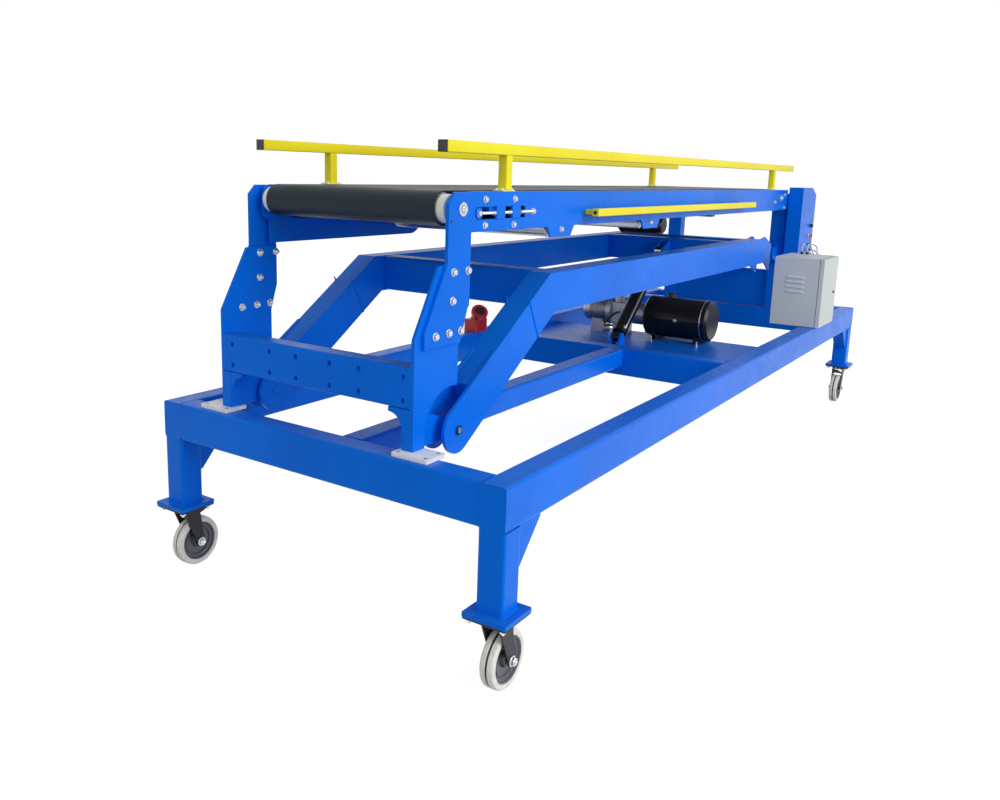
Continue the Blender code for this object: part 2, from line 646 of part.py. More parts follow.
def lug_outline():
    """Round-ended plate over the arm's toe, concentric with the head pin."""
    centre = Vector((y_at(HEAD_PIN_Y), HEAD_PIN_Z))
    along = Vector((math.cos(ARM_SLOPE), math.sin(ARM_SLOPE)))
    across = Vector((-math.sin(ARM_SLOPE), math.cos(ARM_SLOPE)))
    reach = centre + along * LUG_LENGTH
    turn = math.degrees(ARM_SLOPE)
    nose = arc(tuple(centre), LUG_R, turn + 90, turn + 270, 16)
    return nose + [tuple(reach - across * LUG_R), tuple(reach + across * LUG_R)]


def build_arm(name, side):
    x0, x1 = span(side, ARM_OUT - ARM_W, ARM_OUT)
    tube = plate(arm_outline(), x0, x1)
    pin_hole = round_hole(y_at(HEAD_PIN_Y), HEAD_PIN_Z, HEAD_PIN_R + PIN_PLAY)
    lugs = [plate(lug_outline(), low, high, (pin_hole,))
            for low, high in ((x0 - 0.002, x0 + LUG_T - 0.002), (x1 - LUG_T + 0.002, x1 + 0.002))]
    rear = y_at(ARM_END_Y)
    top, bottom = ARM_TOP, ARM_TOP - ARM_H
    cheek = [(rear - 0.030, bottom + 0.001), (rear - 0.030, top - 0.001), (rear + 0.060, top + 0.012),
             (rear + 0.210, top - 0.045), (rear + 0.200, bottom - 0.065), (rear + 0.090, bottom - 0.001)]
    cheeks = [plate(cheek, low, high) for low, high in ((x0 + 0.004, x0 + 0.016), (x1 - 0.014, x1 - 0.002))]
    cap = box((x0 + 0.010, rear + 0.020, bottom + 0.020), (x1 - 0.010, rear + 0.032, top - 0.020))
    gusset = plate([(rear - 0.120, bottom + 0.002), (rear + 0.050, bottom + 0.002), (rear + 0.050, bottom - 0.060)],
                   (x0 + x1) / 2 - 0.006, (x0 + x1) / 2 + 0.006)
    strap = box(((x0 + x1) / 2 - 0.006, rear + 0.010, bottom - 0.060), ((x0 + x1) / 2 + 0.006, rear + 0.050, bottom + 0.060))
    finish(f"lift_arm_{name}", fuse(tube, *lugs, *cheeks, cap, gusset, strap), "blue", lift)


def build_lift_tubes():
    inner = ARM_OUT - ARM_W - SEAT
    bottom = ARM_TOP - ARM_H
    x0, x1 = MID_X - inner, MID_X + inner
    start = y_at(KNEE_TUBE_Y)
    finish("lift_tube_knee",
           box((x0, start, bottom + 0.005), (x1, start + CROSS_TUBE_W, ARM_TOP - 0.002), BEND_R, 0), "blue", lift)
    start = y_at(MID_TUBE_Y)
    tube = box((x0, start, bottom + 0.005), (x1, start + CROSS_TUBE_W, ARM_TOP - 0.002), BEND_R, 0)
    gap = CYL_EYE_W / 2 + 0.002
    eye_y = y_at(CYL_EYE_Y)
    pieces = []
    for low, high in ((MID_X - gap - CLEVIS_T, MID_X - gap), (MID_X + gap, MID_X + gap + CLEVIS_T)):
        tip = arc((eye_y, CYL_EYE_Z), CLEVIS_R, 90, 270, 8)
        pieces.append(plate([(start + 0.004, CYL_EYE_Z - 0.050), (start + 0.004, CYL_EYE_Z + 0.070)] + tip, low, high))
    pieces.append(cylinder((MID_X - gap - 0.006, eye_y, CYL_EYE_Z), (MID_X + gap + 0.006, eye_y, CYL_EYE_Z), CYL_PIN_R, 16))
    finish("lift_tube_mid", fuse(tube, *pieces), "blue", lift)
    start = y_at(REAR_TUBE_Y)
    tube = box((x0, start, bottom + 0.005), (x1, start + CROSS_TUBE_W, ARM_TOP - 0.002), BEND_R, 0)
    pin_y = y_at(LIFT_PIN_Y)
    pieces = []
    for _, side in SIDES:
        low, high = span(side, REAR_LUG_X - REAR_LUG_T / 2, REAR_LUG_X + REAR_LUG_T / 2)
        tip = arc((pin_y, LIFT_PIN_Z), REAR_LUG_R, -80, 80, 12)
        hole = round_hole(pin_y, LIFT_PIN_Z, LIFT_PIN_R + PIN_PLAY)
        back = start + CROSS_TUBE_W - 0.004
        pieces.append(plate([(back, bottom + 0.010)] + tip + [(back, ARM_TOP - 0.010)], low, high, (hole,)))
    finish("lift_tube_rear", fuse(tube, *pieces), "blue", lift)


# Head frame
def build_head():
    front = y_at(FOOT_FRONT)
    sole = BASE_TOP + SEAT + PAD_T + SEAT
    for name, side in SIDES:
        outer = HEAD_OUT - HEAD_PLATE_T - SEAT
        x0, x1 = span(side, outer - HEAD_PLATE_T, outer)
        sheet = plate([(front, HEAD_BEAM_TOP - HEAD_BEAM_H), (front, 1.114), (y_at(0.190), 1.345), (y_at(0.345), 1.345),
                       (y_at(0.345), 1.190), (y_at(0.305), 1.090), (y_at(0.305), 0.920),
                       (y_at(0.240), HEAD_BEAM_TOP - HEAD_BEAM_H)], x0, x1)
        a, b = span(side, HEAD_OUT - FOOT_W, outer)
        pin_y, pin_z = y_at(HEAD_PIN_Y), HEAD_PIN_Z
        ear = arc((pin_y, pin_z), pin_z - sole, -90, 90, 12)
        foot = plate([(front, sole)] + ear + [(y_at(0.200), 0.875), (front, 0.875)], a, b)
        low, high = span(side, ARM_OUT - ARM_W - 0.004, ARM_OUT + 0.006)
        pin = cylinder((low, pin_y, pin_z), (high, pin_y, pin_z), HEAD_PIN_R, 20)
        finish(f"head_upright_{name}", fuse(sheet, foot, pin), "blue", head)
    inner = HEAD_OUT - 2 * HEAD_PLATE_T - 2 * SEAT
    x0, x1 = MID_X - inner, MID_X + inner
    z0, z1 = HEAD_BEAM_TOP - HEAD_BEAM_H + 0.016, HEAD_BEAM_TOP
    beam = box((x0, front, z0), (x1, front + HEAD_BEAM_D, z1), 0.008, 0)
    holes = []
    for x in (-0.405, -0.205, -0.070, 0.095, 0.230, 0.420):
        for z in (0.905, 0.985):
            holes.append(cylinder((MID_X + x, front - 0.010, z), (MID_X + x, front + 0.012, z), BEAM_HOLE_R, 12))
    finish("head_beam", cut(beam, *holes), "blue", head)
    for name, side in SIDES:
        x0, x1 = span(side, HEAD_OUT - HEAD_PLATE_T, HEAD_OUT)
        hole = round_hole(y_at(FRONT_ROLLER_Y), ROLLER_Z, SHAFT_R + SHAFT_PLAY)
        outline = [(y_at(0.098), 1.075), (y_at(0.305), 1.075), (y_at(0.345), 1.190), (y_at(0.355), 1.200), (y_at(0.355), 1.570),
                   (y_at(0.340), 1.585), (y_at(0.253), 1.585), (y_at(0.2185), 1.550), (y_at(0.2185), 1.3515), (y_at(0.098), 1.130)]
        finish(f"head_plate_{name}", plate(outline, x0, x1, (hole,)), "blue", head)


# Conveyor
def racetrack(radius):
    front = arc((y_at(FRONT_ROLLER_Y), ROLLER_Z), radius, 90, 270, 16)
    rear = arc((y_at(REAR_ROLLER_Y), ROLLER_Z), radius, -90, 90, 16)
    return front + rear


def build_side(name, side):
    z1, z0 = SIDE_TOP, SIDE_TOP - SIDE_H
    x0, x1 = span(side, SIDE_OUT - SIDE_T, SIDE_OUT)
    front, rear = y_at(SIDE_FRONT), y_at(SIDE_REAR)
    nose = arc((front + 0.040, z1 - 0.040), 0.040, 180, 90, 5)
    chin = arc((front + 0.040, z0 + 0.040), 0.040, 270, 180, 5)
    shaft = round_hole(y_at(FRONT_ROLLER_Y), ROLLER_Z, SHAFT_R + SEAT, 20)
    drive = round_hole(y_at(REAR_ROLLER_Y), ROLLER_Z, SHAFT_R + SEAT, 20)
    pivot = round_hole(y_at(CONVEYOR_PIN_Y), CONVEYOR_PIN_Z, HEAD_PIN_R + PIN_PLAY, 20)
    slot = [(y_at(0.450), 1.502), (y_at(0.620), 1.502), (y_at(0.620), 1.532), (y_at(0.450), 1.532)]
    web = plate([(rear, z0), (rear, z1)] + nose[::-1] + chin[::-1], x0, x1, (shaft, drive, pivot, slot))
    a, b = span(side, SIDE_OUT - SIDE_FLANGE, SIDE_OUT - 0.001)
    start, stop = y_at(CHANNEL_FRONT), rear - 0.100
    top = box((a, start, z1 - SIDE_T), (b, stop, z1 - 0.0001))
    low = box((a, start, z0 + 0.0001), (b, stop, z0 + SIDE_T))
    finish(f"side_plate_{name}", fuse(web, top, low), "blue", conveyor)


def build_conveyor():
    for name, side in SIDES:
        build_side(name, side)
    half = BELT_W / 2
    outer = racetrack(ROLLER_R + SEAT + BELT_T)
    inner = racetrack(ROLLER_R + SEAT)
    finish("belt", plate(outer, MID_X - half, MID_X + half, (inner,)), "belt", conveyor)
    for name, distance, end in (("front", FRONT_ROLLER_Y, HEAD_OUT + 0.010), ("rear", REAR_ROLLER_Y, SIDE_OUT + 0.010)):
        profile = [(-end, 0.0), (-end, SHAFT_R), (-half - RING_W, SHAFT_R), (-half - RING_W, RING_R - 0.004),
                   (-half - RING_W + 0.004, RING_R), (-half, RING_R), (-half + 0.002, ROLLER_R), (half - 0.002, ROLLER_R), (half, RING_R),
                   (half + RING_W - 0.004, RING_R), (half + RING_W, RING_R - 0.004), (half + RING_W, SHAFT_R), (end, SHAFT_R), (end, 0.0)]
        roller = turned(profile, (MID_X, y_at(distance), ROLLER_Z), 32, closed=False)
        finish(f"belt_roller_{name}", roller, "steel", conveyor)
    top = ROLLER_Z + ROLLER_R
    start, stop = y_at(CHANNEL_FRONT), y_at(REAR_ROLLER_Y - 0.120)
    width = SIDE_OUT - SIDE_FLANGE - SEAT
    deck = box((MID_X - width, start, top - BED_T), (MID_X + width, stop, top - SEAT))
    ribs = []
    reach = SIDE_OUT - SIDE_T - SEAT
    for place in np.linspace(start + 0.120, stop - 0.100, 6):
        ribs.append(box((MID_X - reach, place - 0.020, top - BED_T - BED_RIB_H - 0.010),
                        (MID_X + reach, place + 0.020, top - BED_T - 0.003)))
        ribs.append(box((MID_X - width + 0.030, place - 0.020, top - BED_T - 0.006),
                        (MID_X + width - 0.030, place + 0.020, top - BED_T + 0.002)))
    finish("slider_bed", fuse(deck, *ribs), "blue", conveyor)
    x0 = MID_X + 0.020
    y = y_at(2.900)
    body = turned([(-0.140, 0.0), (-0.140, DRIVE_R - 0.010), (-0.130, DRIVE_R), (0.130, DRIVE_R), (0.140, DRIVE_R - 0.010),
                   (0.140, 0.0)], (x0, y, DRIVE_Z), 28, closed=False)
    z_side = SIDE_TOP - SIDE_H - SEAT
    hanger = box((MID_X - SIDE_OUT + 0.002, y - 0.030, z_side - 0.010), (MID_X + SIDE_OUT - 0.002, y + 0.030, z_side))
    neck = box((x0 - 0.050, y - 0.030, DRIVE_Z + 0.030), (x0 + 0.050, y + 0.030, z_side - 0.002))
    finish("drive_motor", fuse(hanger, body, neck), "black", conveyor)


def build_rails():
    for name, side in SIDES:
        x = MID_X + side * RAIL_X
        half = RAIL_SIDE / 2
        rail = box((x - half, y_at(RAIL_FRONT), RAIL_TOP - RAIL_SIDE), (x + half, y_at(RAIL_REAR), RAIL_TOP), 0.004, 1, 1)
        pieces = []
        for place in RAIL_POSTS_Y:
            y = y_at(place)
            r = RAIL_POST / 2
            pieces.append(box((x - r, y - r, SIDE_TOP + 0.003), (x + r, y + r, RAIL_TOP - RAIL_SIDE + 0.002), 0.003, 2, 1))
            sole = MID_X + side * (SIDE_OUT - SIDE_FLANGE / 2)
            w = SIDE_FLANGE / 2 - 0.002
            pieces.append(box((sole - w, y - 0.036, SIDE_TOP + SEAT), (sole + w, y + 0.036, SIDE_TOP + 0.006)))
        finish(f"guide_rail_{name}", fuse(rail, *pieces), "yellow", conveyor)
    for name, side in SIDES:
        x0, x1 = span(side, BUMP_OUT - BUMP_H, BUMP_OUT)
        half = BUMP_H / 2
        bar = box((x0, y_at(BUMP_FRONT), BUMP_Z - half), (x1, y_at(BUMP_REAR), BUMP_Z + half), 0.003, 1, 1)
        stays = []
        a, b = span(side, SIDE_OUT + SEAT, BUMP_OUT - BUMP_H + 0.002)
        for place in (BUMP_FRONT + 0.016, (BUMP_FRONT + BUMP_REAR) / 2, BUMP_REAR - 0.016):
            stays.append(box((a, y_at(place) - 0.0155, BUMP_Z - half + 0.001), (b, y_at(place) + 0.0155, BUMP_Z + half - 0.001)))
        finish(f"bump_bar_{name}", fuse(bar, *stays), "yellow", conveyor)


def build():
    build_trolley()
    for end_name, end in (("front", -1), ("rear", 1)):
        for side_name, side in SIDES:
            name = f"{end_name}_{side_name}"
            build_leg(name, side, end)
            build_caster(name, side, end, name in ("front_left", "rear_right"))
    build_rear_posts()
    build_pads_and_tray()
    build_power_unit()
    build_cylinder()
    build_cabinet()
    build_column()
    build_inlet()
    for name, side in SIDES:
        build_arm(name, side)
    build_lift_tubes()
    build_head()
    build_conveyor()
    build_rails()


build()
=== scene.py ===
# %% [markdown]
# # A loading conveyor on a castered trolley
#
# The machine is a welded blue trolley on four casters. A bent lift frame carries a portal at the front,
# and the portal and two rear posts carry a belt conveyor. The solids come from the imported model, so this
# script only gives them their finishes and adds what is too fine for them: bolts, weld beads, louvres,
# hoses, tyres and the like. Everything is in metres, X to the machine's right, Y to its rear, Z up.

import json
import math

import bpy
import numpy as np
from mathutils import Matrix, Vector
from mathutils.geometry import tessellate_polygon


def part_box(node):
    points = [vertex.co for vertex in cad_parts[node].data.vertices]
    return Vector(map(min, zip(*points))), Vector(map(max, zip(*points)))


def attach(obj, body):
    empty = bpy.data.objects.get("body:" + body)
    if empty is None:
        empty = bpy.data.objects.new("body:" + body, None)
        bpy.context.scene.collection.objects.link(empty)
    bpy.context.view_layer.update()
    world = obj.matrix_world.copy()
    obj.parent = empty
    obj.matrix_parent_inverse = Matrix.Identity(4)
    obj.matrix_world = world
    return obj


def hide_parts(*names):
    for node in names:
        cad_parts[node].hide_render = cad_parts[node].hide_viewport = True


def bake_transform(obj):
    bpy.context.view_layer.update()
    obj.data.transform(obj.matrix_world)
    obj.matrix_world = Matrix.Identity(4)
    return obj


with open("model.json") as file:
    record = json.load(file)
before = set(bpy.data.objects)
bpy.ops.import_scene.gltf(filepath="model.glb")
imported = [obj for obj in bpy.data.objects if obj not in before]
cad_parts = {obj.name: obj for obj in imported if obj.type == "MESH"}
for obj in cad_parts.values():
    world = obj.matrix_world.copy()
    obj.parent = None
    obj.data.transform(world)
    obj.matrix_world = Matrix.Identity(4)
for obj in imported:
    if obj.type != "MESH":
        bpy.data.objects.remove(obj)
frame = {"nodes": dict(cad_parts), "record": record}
bpy.context.scene.view_settings.view_transform = "Standard"
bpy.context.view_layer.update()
nodes = frame["nodes"]
joints = {joint["name"]: joint for joint in frame["record"]["behaviour"]["joints"]}
SIDES = (("right", 1), ("left", -1))
CORNERS = [(f"{end}_{side}", end, side) for end in ("front", "rear") for side in ("left", "right")]

# %% [markdown]
# ## Camera
#
# The photograph was taken with a wide lens from the machine's right front corner, at head height. A
# camera solved from the trolley's straight edges gives its place, its turn and its focal length. The
# frame was cropped afterwards, so the optical centre isn't in the middle: the shift values say how far.

# %% Camera
CAMERA_PLACE = np.array([2.111, -4.685, 1.651])
YAW, PITCH, ROLL = np.radians([-34.79, -11.04, 1.45])
FOCAL_PIXELS = 883.1
OPTICAL_CENTRE = np.array([452.5, 344.7])
FRAME_PIXELS = np.array([1000.0, 800.0])
SENSOR_WIDTH = 36.0


def camera_axes(yaw, pitch, roll):
    """Right, up and back vectors: forward from yaw and pitch, then right and up rolled about it."""
    forward = np.array([math.sin(yaw) * math.cos(pitch), math.cos(yaw) * math.cos(pitch), math.sin(pitch)])
    right = np.array([math.cos(yaw), -math.sin(yaw), 0.0])
    up = np.cross(right, forward)
    tilted_right = math.cos(roll) * right + math.sin(roll) * up
    tilted_up = math.cos(roll) * up - math.sin(roll) * right
    return tilted_right, tilted_up, -forward


camera_data = bpy.data.cameras.new("camera")
camera = bpy.data.objects.new("camera", camera_data)
bpy.context.scene.collection.objects.link(camera)
bpy.context.scene.camera = camera
turn = np.eye(4)
turn[:3, :3] = np.array(camera_axes(YAW, PITCH, ROLL)).T
turn[:3, 3] = CAMERA_PLACE
camera.matrix_world = Matrix(turn.tolist())
camera_data.sensor_width = SENSOR_WIDTH
camera_data.lens = FOCAL_PIXELS * SENSOR_WIDTH / FRAME_PIXELS[0]
camera_data.shift_x, camera_data.shift_y = (FRAME_PIXELS / 2 - OPTICAL_CENTRE) * (1, -1) / FRAME_PIXELS[0]
camera_data.clip_end = 100.0
print("lens", round(camera_data.lens, 2), "mm")

# %% [markdown]
# ## Node trees
#
# Every finish below is a small node tree. Written out call by call, such a tree hides its idea among the
# links, so two helpers do the wiring: one adds a node and sets or links its inputs by name, and one adds
# a number's sum or product. A socket given as a value is linked, anything else is stored on the node.

# %% Wiring helpers
def wire(tree, socket, value):
    """Links a socket to another, or stores a plain value on it."""
    if isinstance(value, bpy.types.NodeSocket):
        tree.links.new(value, socket)
    else:
        socket.default_value = value


def add(tree, kind, settings=None, **inputs):
    """A node of a kind, with its settings and its inputs; spaces in input names are written as _."""
    made = tree.nodes.new("ShaderNode" + kind)
    for key, value in (settings or {}).items():
        setattr(made, key, value)
    for key, value in inputs.items():
        wire(tree, made.inputs[key.replace("_", " ")], value)
    return made


def maths(tree, operation, first, second=0.0):
    """One number from two: operation is ADD, MULTIPLY, POWER and so on."""
    made = tree.nodes.new("ShaderNodeMath")
    made.operation = operation
    wire(tree, made.inputs[0], first)
    wire(tree, made.inputs[1], second)
    return made.outputs[0]


def mixed(tree, factor, first, second):
    """A colour between two, by a factor."""
    made = tree.nodes.new("ShaderNodeMix")
    made.data_type = "RGBA"
    for index, value in ((0, factor), (6, first), (7, second)):
        wire(tree, made.inputs[index], value)
    return made.outputs[2]


def ramp(tree, factor, low, high, start=0.0, end=1.0):
    """A number brought from the range low..high to start..end, and held at those ends."""
    made = add(tree, "MapRange", {"clamp": True}, Value=factor, From_Min=low, From_Max=high,
               To_Min=start, To_Max=end)
    return made.outputs[0]


def noise(tree, place, scale, detail=3.0, roughness=0.55):
    """Cloudy noise of about 1 / scale metres from lump to lump."""
    made = add(tree, "TexNoise", None, Vector=place, Scale=scale, Detail=detail, Roughness=roughness)
    return made.outputs["Fac"]


def showing_ray(tree):
    """1 for the rays that show things (camera, glossy, transmission), 0 for those that only light them."""
    path = add(tree, "LightPath")
    ray = maths(tree, "MAXIMUM", path.outputs["Is Camera Ray"], path.outputs["Is Glossy Ray"])
    return maths(tree, "MAXIMUM", ray, path.outputs["Is Transmission Ray"])


# %% [markdown]
# ## Studio
#
# The photograph shows the machine cut out on white, lit from its right. One broad lamp stands on that
# side, a weaker one fills the front, and a pale world does the rest. The backdrop's white comes from
# what camera, gloss and glass see of the world, not from stronger lamps. The floor is a mid grey, so that
# it throws little light up under the frame, and a glow that only those rays see makes it white.

# %% World, floor and lamps
WORLD_LIGHT = 0.46
WORLD_WHITE = 1.0
WHITE = (1.0, 1.0, 1.0, 1.0)
FLOOR_COLOUR, FLOOR_CLOUD = (0.46, 0.46, 0.46, 1.0), (0.44, 0.44, 0.44, 1.0)
FLOOR_GLOW = 0.83        # what the showing rays get on top of the lamps' light
FLOOR_SIZE, FLOOR_GAP = 60.0, 0.0005
KEY_PLACE, KEY_SIZE, KEY_POWER = (9.0, -1.5, 4.5), 6.0, 540.0
FILL_PLACE, FILL_SIZE, FILL_POWER = (0.5, -9.0, 3.5), 5.0, 70.0
MACHINE_MIDDLE = (0.0, 0.0, 0.9)


def build_world():
    """White for camera, glossy and transmission rays, and a softer white that lights the machine."""
    world = bpy.data.worlds.new("studio")
    bpy.context.scene.world = world
    world.use_nodes = True
    tree = world.node_tree
    tree.nodes.clear()
    lights = add(tree, "Background", None, Color=WHITE, Strength=WORLD_LIGHT)
    seen = add(tree, "Background", None, Color=WHITE, Strength=WORLD_WHITE)
    mix = add(tree, "MixShader", None, Fac=showing_ray(tree))
    wire(tree, mix.inputs[1], lights.outputs[0])
    wire(tree, mix.inputs[2], seen.outputs[0])
    add(tree, "OutputWorld", None, Surface=mix.outputs[0])


def build_floor():
    """A matt grey floor with a glow for the showing rays: it looks white and keeps a faint shadow."""
    half = FLOOR_SIZE / 2
    mesh = bpy.data.meshes.new("floor")
    mesh.from_pydata([(-half, -half, -FLOOR_GAP), (half, -half, -FLOOR_GAP), (half, half, -FLOOR_GAP),
                      (-half, half, -FLOOR_GAP)], [], [(0, 1, 2, 3)])
    floor = bpy.data.objects.new("floor", mesh)
    bpy.context.scene.collection.objects.link(floor)
    material = bpy.data.materials.new("floor_paint")
    material.use_nodes = True
    tree = material.node_tree
    shader = tree.nodes["Principled BSDF"]
    place = add(tree, "TexCoord").outputs["Object"]
    cloud = ramp(tree, noise(tree, place, 1.3), 0.3, 0.7, 0.97, 1.0)
    wire(tree, shader.inputs["Base Color"], mixed(tree, cloud, FLOOR_CLOUD, FLOOR_COLOUR))
    shader.inputs["Roughness"].default_value = 0.9
    shader.inputs["Emission Color"].default_value = (1.0, 1.0, 1.0, 1.0)
    wire(tree, shader.inputs["Emission Strength"], maths(tree, "MULTIPLY", showing_ray(tree), FLOOR_GLOW))
    mesh.materials.append(material)


def area_lamp(name, place, target, size, power):
    """A square soft box at a place, facing a target."""
    data = bpy.data.lights.new(name, "AREA")
    data.shape = "SQUARE"
    data.size = size
    data.energy = power
    lamp = bpy.data.objects.new(name, data)
    bpy.context.scene.collection.objects.link(lamp)
    lamp.location = place
    lamp.rotation_mode = "QUATERNION"
    lamp.rotation_quaternion = (Vector(target) - Vector(place)).to_track_quat("-Z", "Y")


build_world()
build_floor()
area_lamp("key_right", KEY_PLACE, MACHINE_MIDDLE, KEY_SIZE, KEY_POWER)
area_lamp("fill_front", FILL_PLACE, MACHINE_MIDDLE, FILL_SIZE, FILL_POWER)
print("world, floor and two lamps made")

# %% [markdown]
# ## Finishes
#
# Sprayed enamel is never one flat colour. It has orange peel, a fine dimple that breaks up reflections,
# a slow change of shade where the gun passed twice, and a top colour on whatever faces up: partly dust,
# and on the blue a darker tone that is painted shade on its top faces. All of that comes from noise on
# Object coordinates, which needs no UV map and stays put when a joint moves. The Bevel node rounds the
# shading at hard edges, so that they catch the light as folded steel does. The blue is strong enough to
# colour its own gloss, which is what its sheen stands for.

# %% Painted metal
EDGE_RADIUS = 0.0025
PEEL_SCALE, PEEL_DEPTH = 240.0, 0.00012
WAVE_SCALE, WAVE_DEPTH = 9.0, 0.0009


def new_material(name):
    """A material with its tree, its shader and the Object coordinates."""
    material = bpy.data.materials.new(name)
    material.use_nodes = True
    tree = material.node_tree
    return material, tree, tree.nodes["Principled BSDF"], add(tree, "TexCoord").outputs["Object"]


def upward(tree):
    """1 on faces that look up, 0 on walls, with a short step between."""
    normal = add(tree, "NewGeometry").outputs["Normal"]
    return ramp(tree, add(tree, "SeparateXYZ", None, Vector=normal).outputs["Z"], 0.55, 0.95)


def relief(tree, shader, heights, radius=EDGE_RADIUS):
    """Rounded edges, then one bump for each (height, distance) pair."""
    normal = add(tree, "Bevel", {"samples": 4}, Radius=radius).outputs[0]
    for height, distance in heights:
        bump = add(tree, "Bump", None, Strength=1.0, Distance=distance, Height=height, Normal=normal)
        normal = bump.outputs[0]
    wire(tree, shader.inputs["Normal"], normal)


def enamel(name, colour, shade, top_dust_and_shade, roughness, coat=0.25, sheen=WHITE):
    """Sprayed paint: colour clouded with a darker tone, a top colour of dust and painted shade on faces that
    look up, orange peel in the gloss.
    """
    material, tree, shader, place = new_material(name)
    cloud = ramp(tree, noise(tree, place, 1.7, 4.0), 0.35, 0.65)
    painted = mixed(tree, cloud, shade, colour)
    # faces that look up take the top colour: dust, and on the blue painted shade on its tops
    drift = ramp(tree, noise(tree, place, 5.0, 6.0, 0.7), 0.3, 0.75, 0.10, 0.45)
    dust_and_shade_on_top = maths(tree, "MULTIPLY", upward(tree), drift)
    wire(tree, shader.inputs["Base Color"], mixed(tree, dust_and_shade_on_top, painted, top_dust_and_shade))
    peel = noise(tree, place, PEEL_SCALE, 1.0)
    patches = noise(tree, place, 14.0, 5.0, 0.7)
    wire(tree, shader.inputs["Roughness"], ramp(tree, patches, 0.3, 0.7, roughness - 0.05, roughness + 0.08))
    shader.inputs["Specular IOR Level"].default_value = 0.16
    shader.inputs["Specular Tint"].default_value = sheen
    shader.inputs["Coat Weight"].default_value = coat
    shader.inputs["Coat Roughness"].default_value = 0.12
    relief(tree, shader, ((noise(tree, place, WAVE_SCALE, 2.0), WAVE_DEPTH), (peel, PEEL_DEPTH)))
    return material


# the blue's third colour is darker than the paint: it is painted shade on its top faces
BLUE_ENAMEL = enamel("blue_enamel", (0.0004, 0.185, 0.930, 1.0), (0.0004, 0.155, 0.800, 1.0),
                     (0.030, 0.150, 0.400, 1.0), 0.34, 0.015, (0.15, 0.55, 1.0, 1.0))
YELLOW_ENAMEL = enamel("yellow_enamel", (0.950, 0.860, 0.020, 1.0), (0.900, 0.740, 0.015, 1.0),
                       (0.860, 0.780, 0.160, 1.0), 0.38, 0.08)
PALE_YELLOW = enamel("pale_yellow", (0.900, 0.880, 0.480, 1.0), (0.860, 0.820, 0.360, 1.0),
                     (0.880, 0.870, 0.640, 1.0), 0.42, 0.05)
BLACK_PAINT = enamel("black_paint", (0.006, 0.007, 0.009, 1.0), (0.012, 0.012, 0.014, 1.0),
                     (0.070, 0.070, 0.072, 1.0), 0.38)
CABINET_COAT = enamel("cabinet_coat", (0.690, 0.730, 0.730, 1.0), (0.650, 0.690, 0.690, 1.0),
                      (0.620, 0.620, 0.610, 1.0), 0.48, 0.0)
print("five paints made")

# %% [markdown]
# ## Metals, plastics and rubber
#
# Bare metal gets its look from roughness more than from colour: machining leaves fine rings, casting
# leaves grain and zinc plating leaves a soft mottle. Belting is satin, with a fabric weave that shows
# only as a faint relief. Mouldings and tyres are matt, with blotches of dirt worked into them.

# %% Bare finishes
WEAVE_LENGTH = 0.0032    # from one raised thread of the belting to the next but one


def plated(name, colour, roughness, mottle_scale, mottle=0.12, grain=None):
    """Metal with a mottled roughness, and optionally the grain of a casting as (scale, depth)."""
    material, tree, shader, place = new_material(name)
    spots = noise(tree, place, mottle_scale, 5.0, 0.65)
    darker = tuple(0.72 * value for value in colour[:3]) + (1.0,)
    wire(tree, shader.inputs["Base Color"], mixed(tree, ramp(tree, spots, 0.35, 0.65), darker, colour))
    wire(tree, shader.inputs["Roughness"], ramp(tree, spots, 0.3, 0.7, roughness, roughness + mottle))
    shader.inputs["Metallic"].default_value = 1.0
    scale, depth = grain or (400.0, 0.00003)
    relief(tree, shader, ((noise(tree, place, scale, 2.0), depth),), 0.0012)
    return material


def matt(name, colour, dirt, roughness, grain_scale, grain_depth, dirt_scale=22.0):
    """Plastic or rubber: fine grain, and a blotchy dirt colour over part of it."""
    material, tree, shader, place = new_material(name)
    grime = ramp(tree, noise(tree, place, dirt_scale, 6.0, 0.7), 0.48, 0.78, 0.0, 0.8)
    wire(tree, shader.inputs["Base Color"], mixed(tree, grime, colour, dirt))
    wire(tree, shader.inputs["Roughness"], ramp(tree, grime, 0.0, 1.0, roughness, roughness + 0.15))
    relief(tree, shader, ((noise(tree, place, grain_scale, 3.0), grain_depth),), 0.0015)
    return material


def belting():
    """Blue-black belting: satin, with the carcass's weave, sin(p x) sin(p y), as a relief."""
    material, tree, shader, place = new_material("belting")
    axes = add(tree, "SeparateXYZ", None, Vector=place)
    pitch = 2 * math.pi / WEAVE_LENGTH
    across = maths(tree, "SINE", maths(tree, "MULTIPLY", axes.outputs["X"], pitch))
    along = maths(tree, "SINE", maths(tree, "MULTIPLY", axes.outputs["Y"], pitch))
    weave = maths(tree, "MULTIPLY", across, along)
    cloud = noise(tree, place, 3.0, 6.0, 0.65)
    tone = ramp(tree, cloud, 0.3, 0.7)
    rubber, worn = (0.005, 0.013, 0.022, 1.0), (0.008, 0.020, 0.032, 1.0)
    wire(tree, shader.inputs["Base Color"], mixed(tree, tone, rubber, worn))
    shader.inputs["Specular IOR Level"].default_value = 0.22
    wire(tree, shader.inputs["Roughness"], ramp(tree, cloud, 0.3, 0.7, 0.36, 0.52))
    relief(tree, shader, ((weave, 0.00006), (noise(tree, place, 40.0, 2.0), 0.0002)), 0.001)
    return material


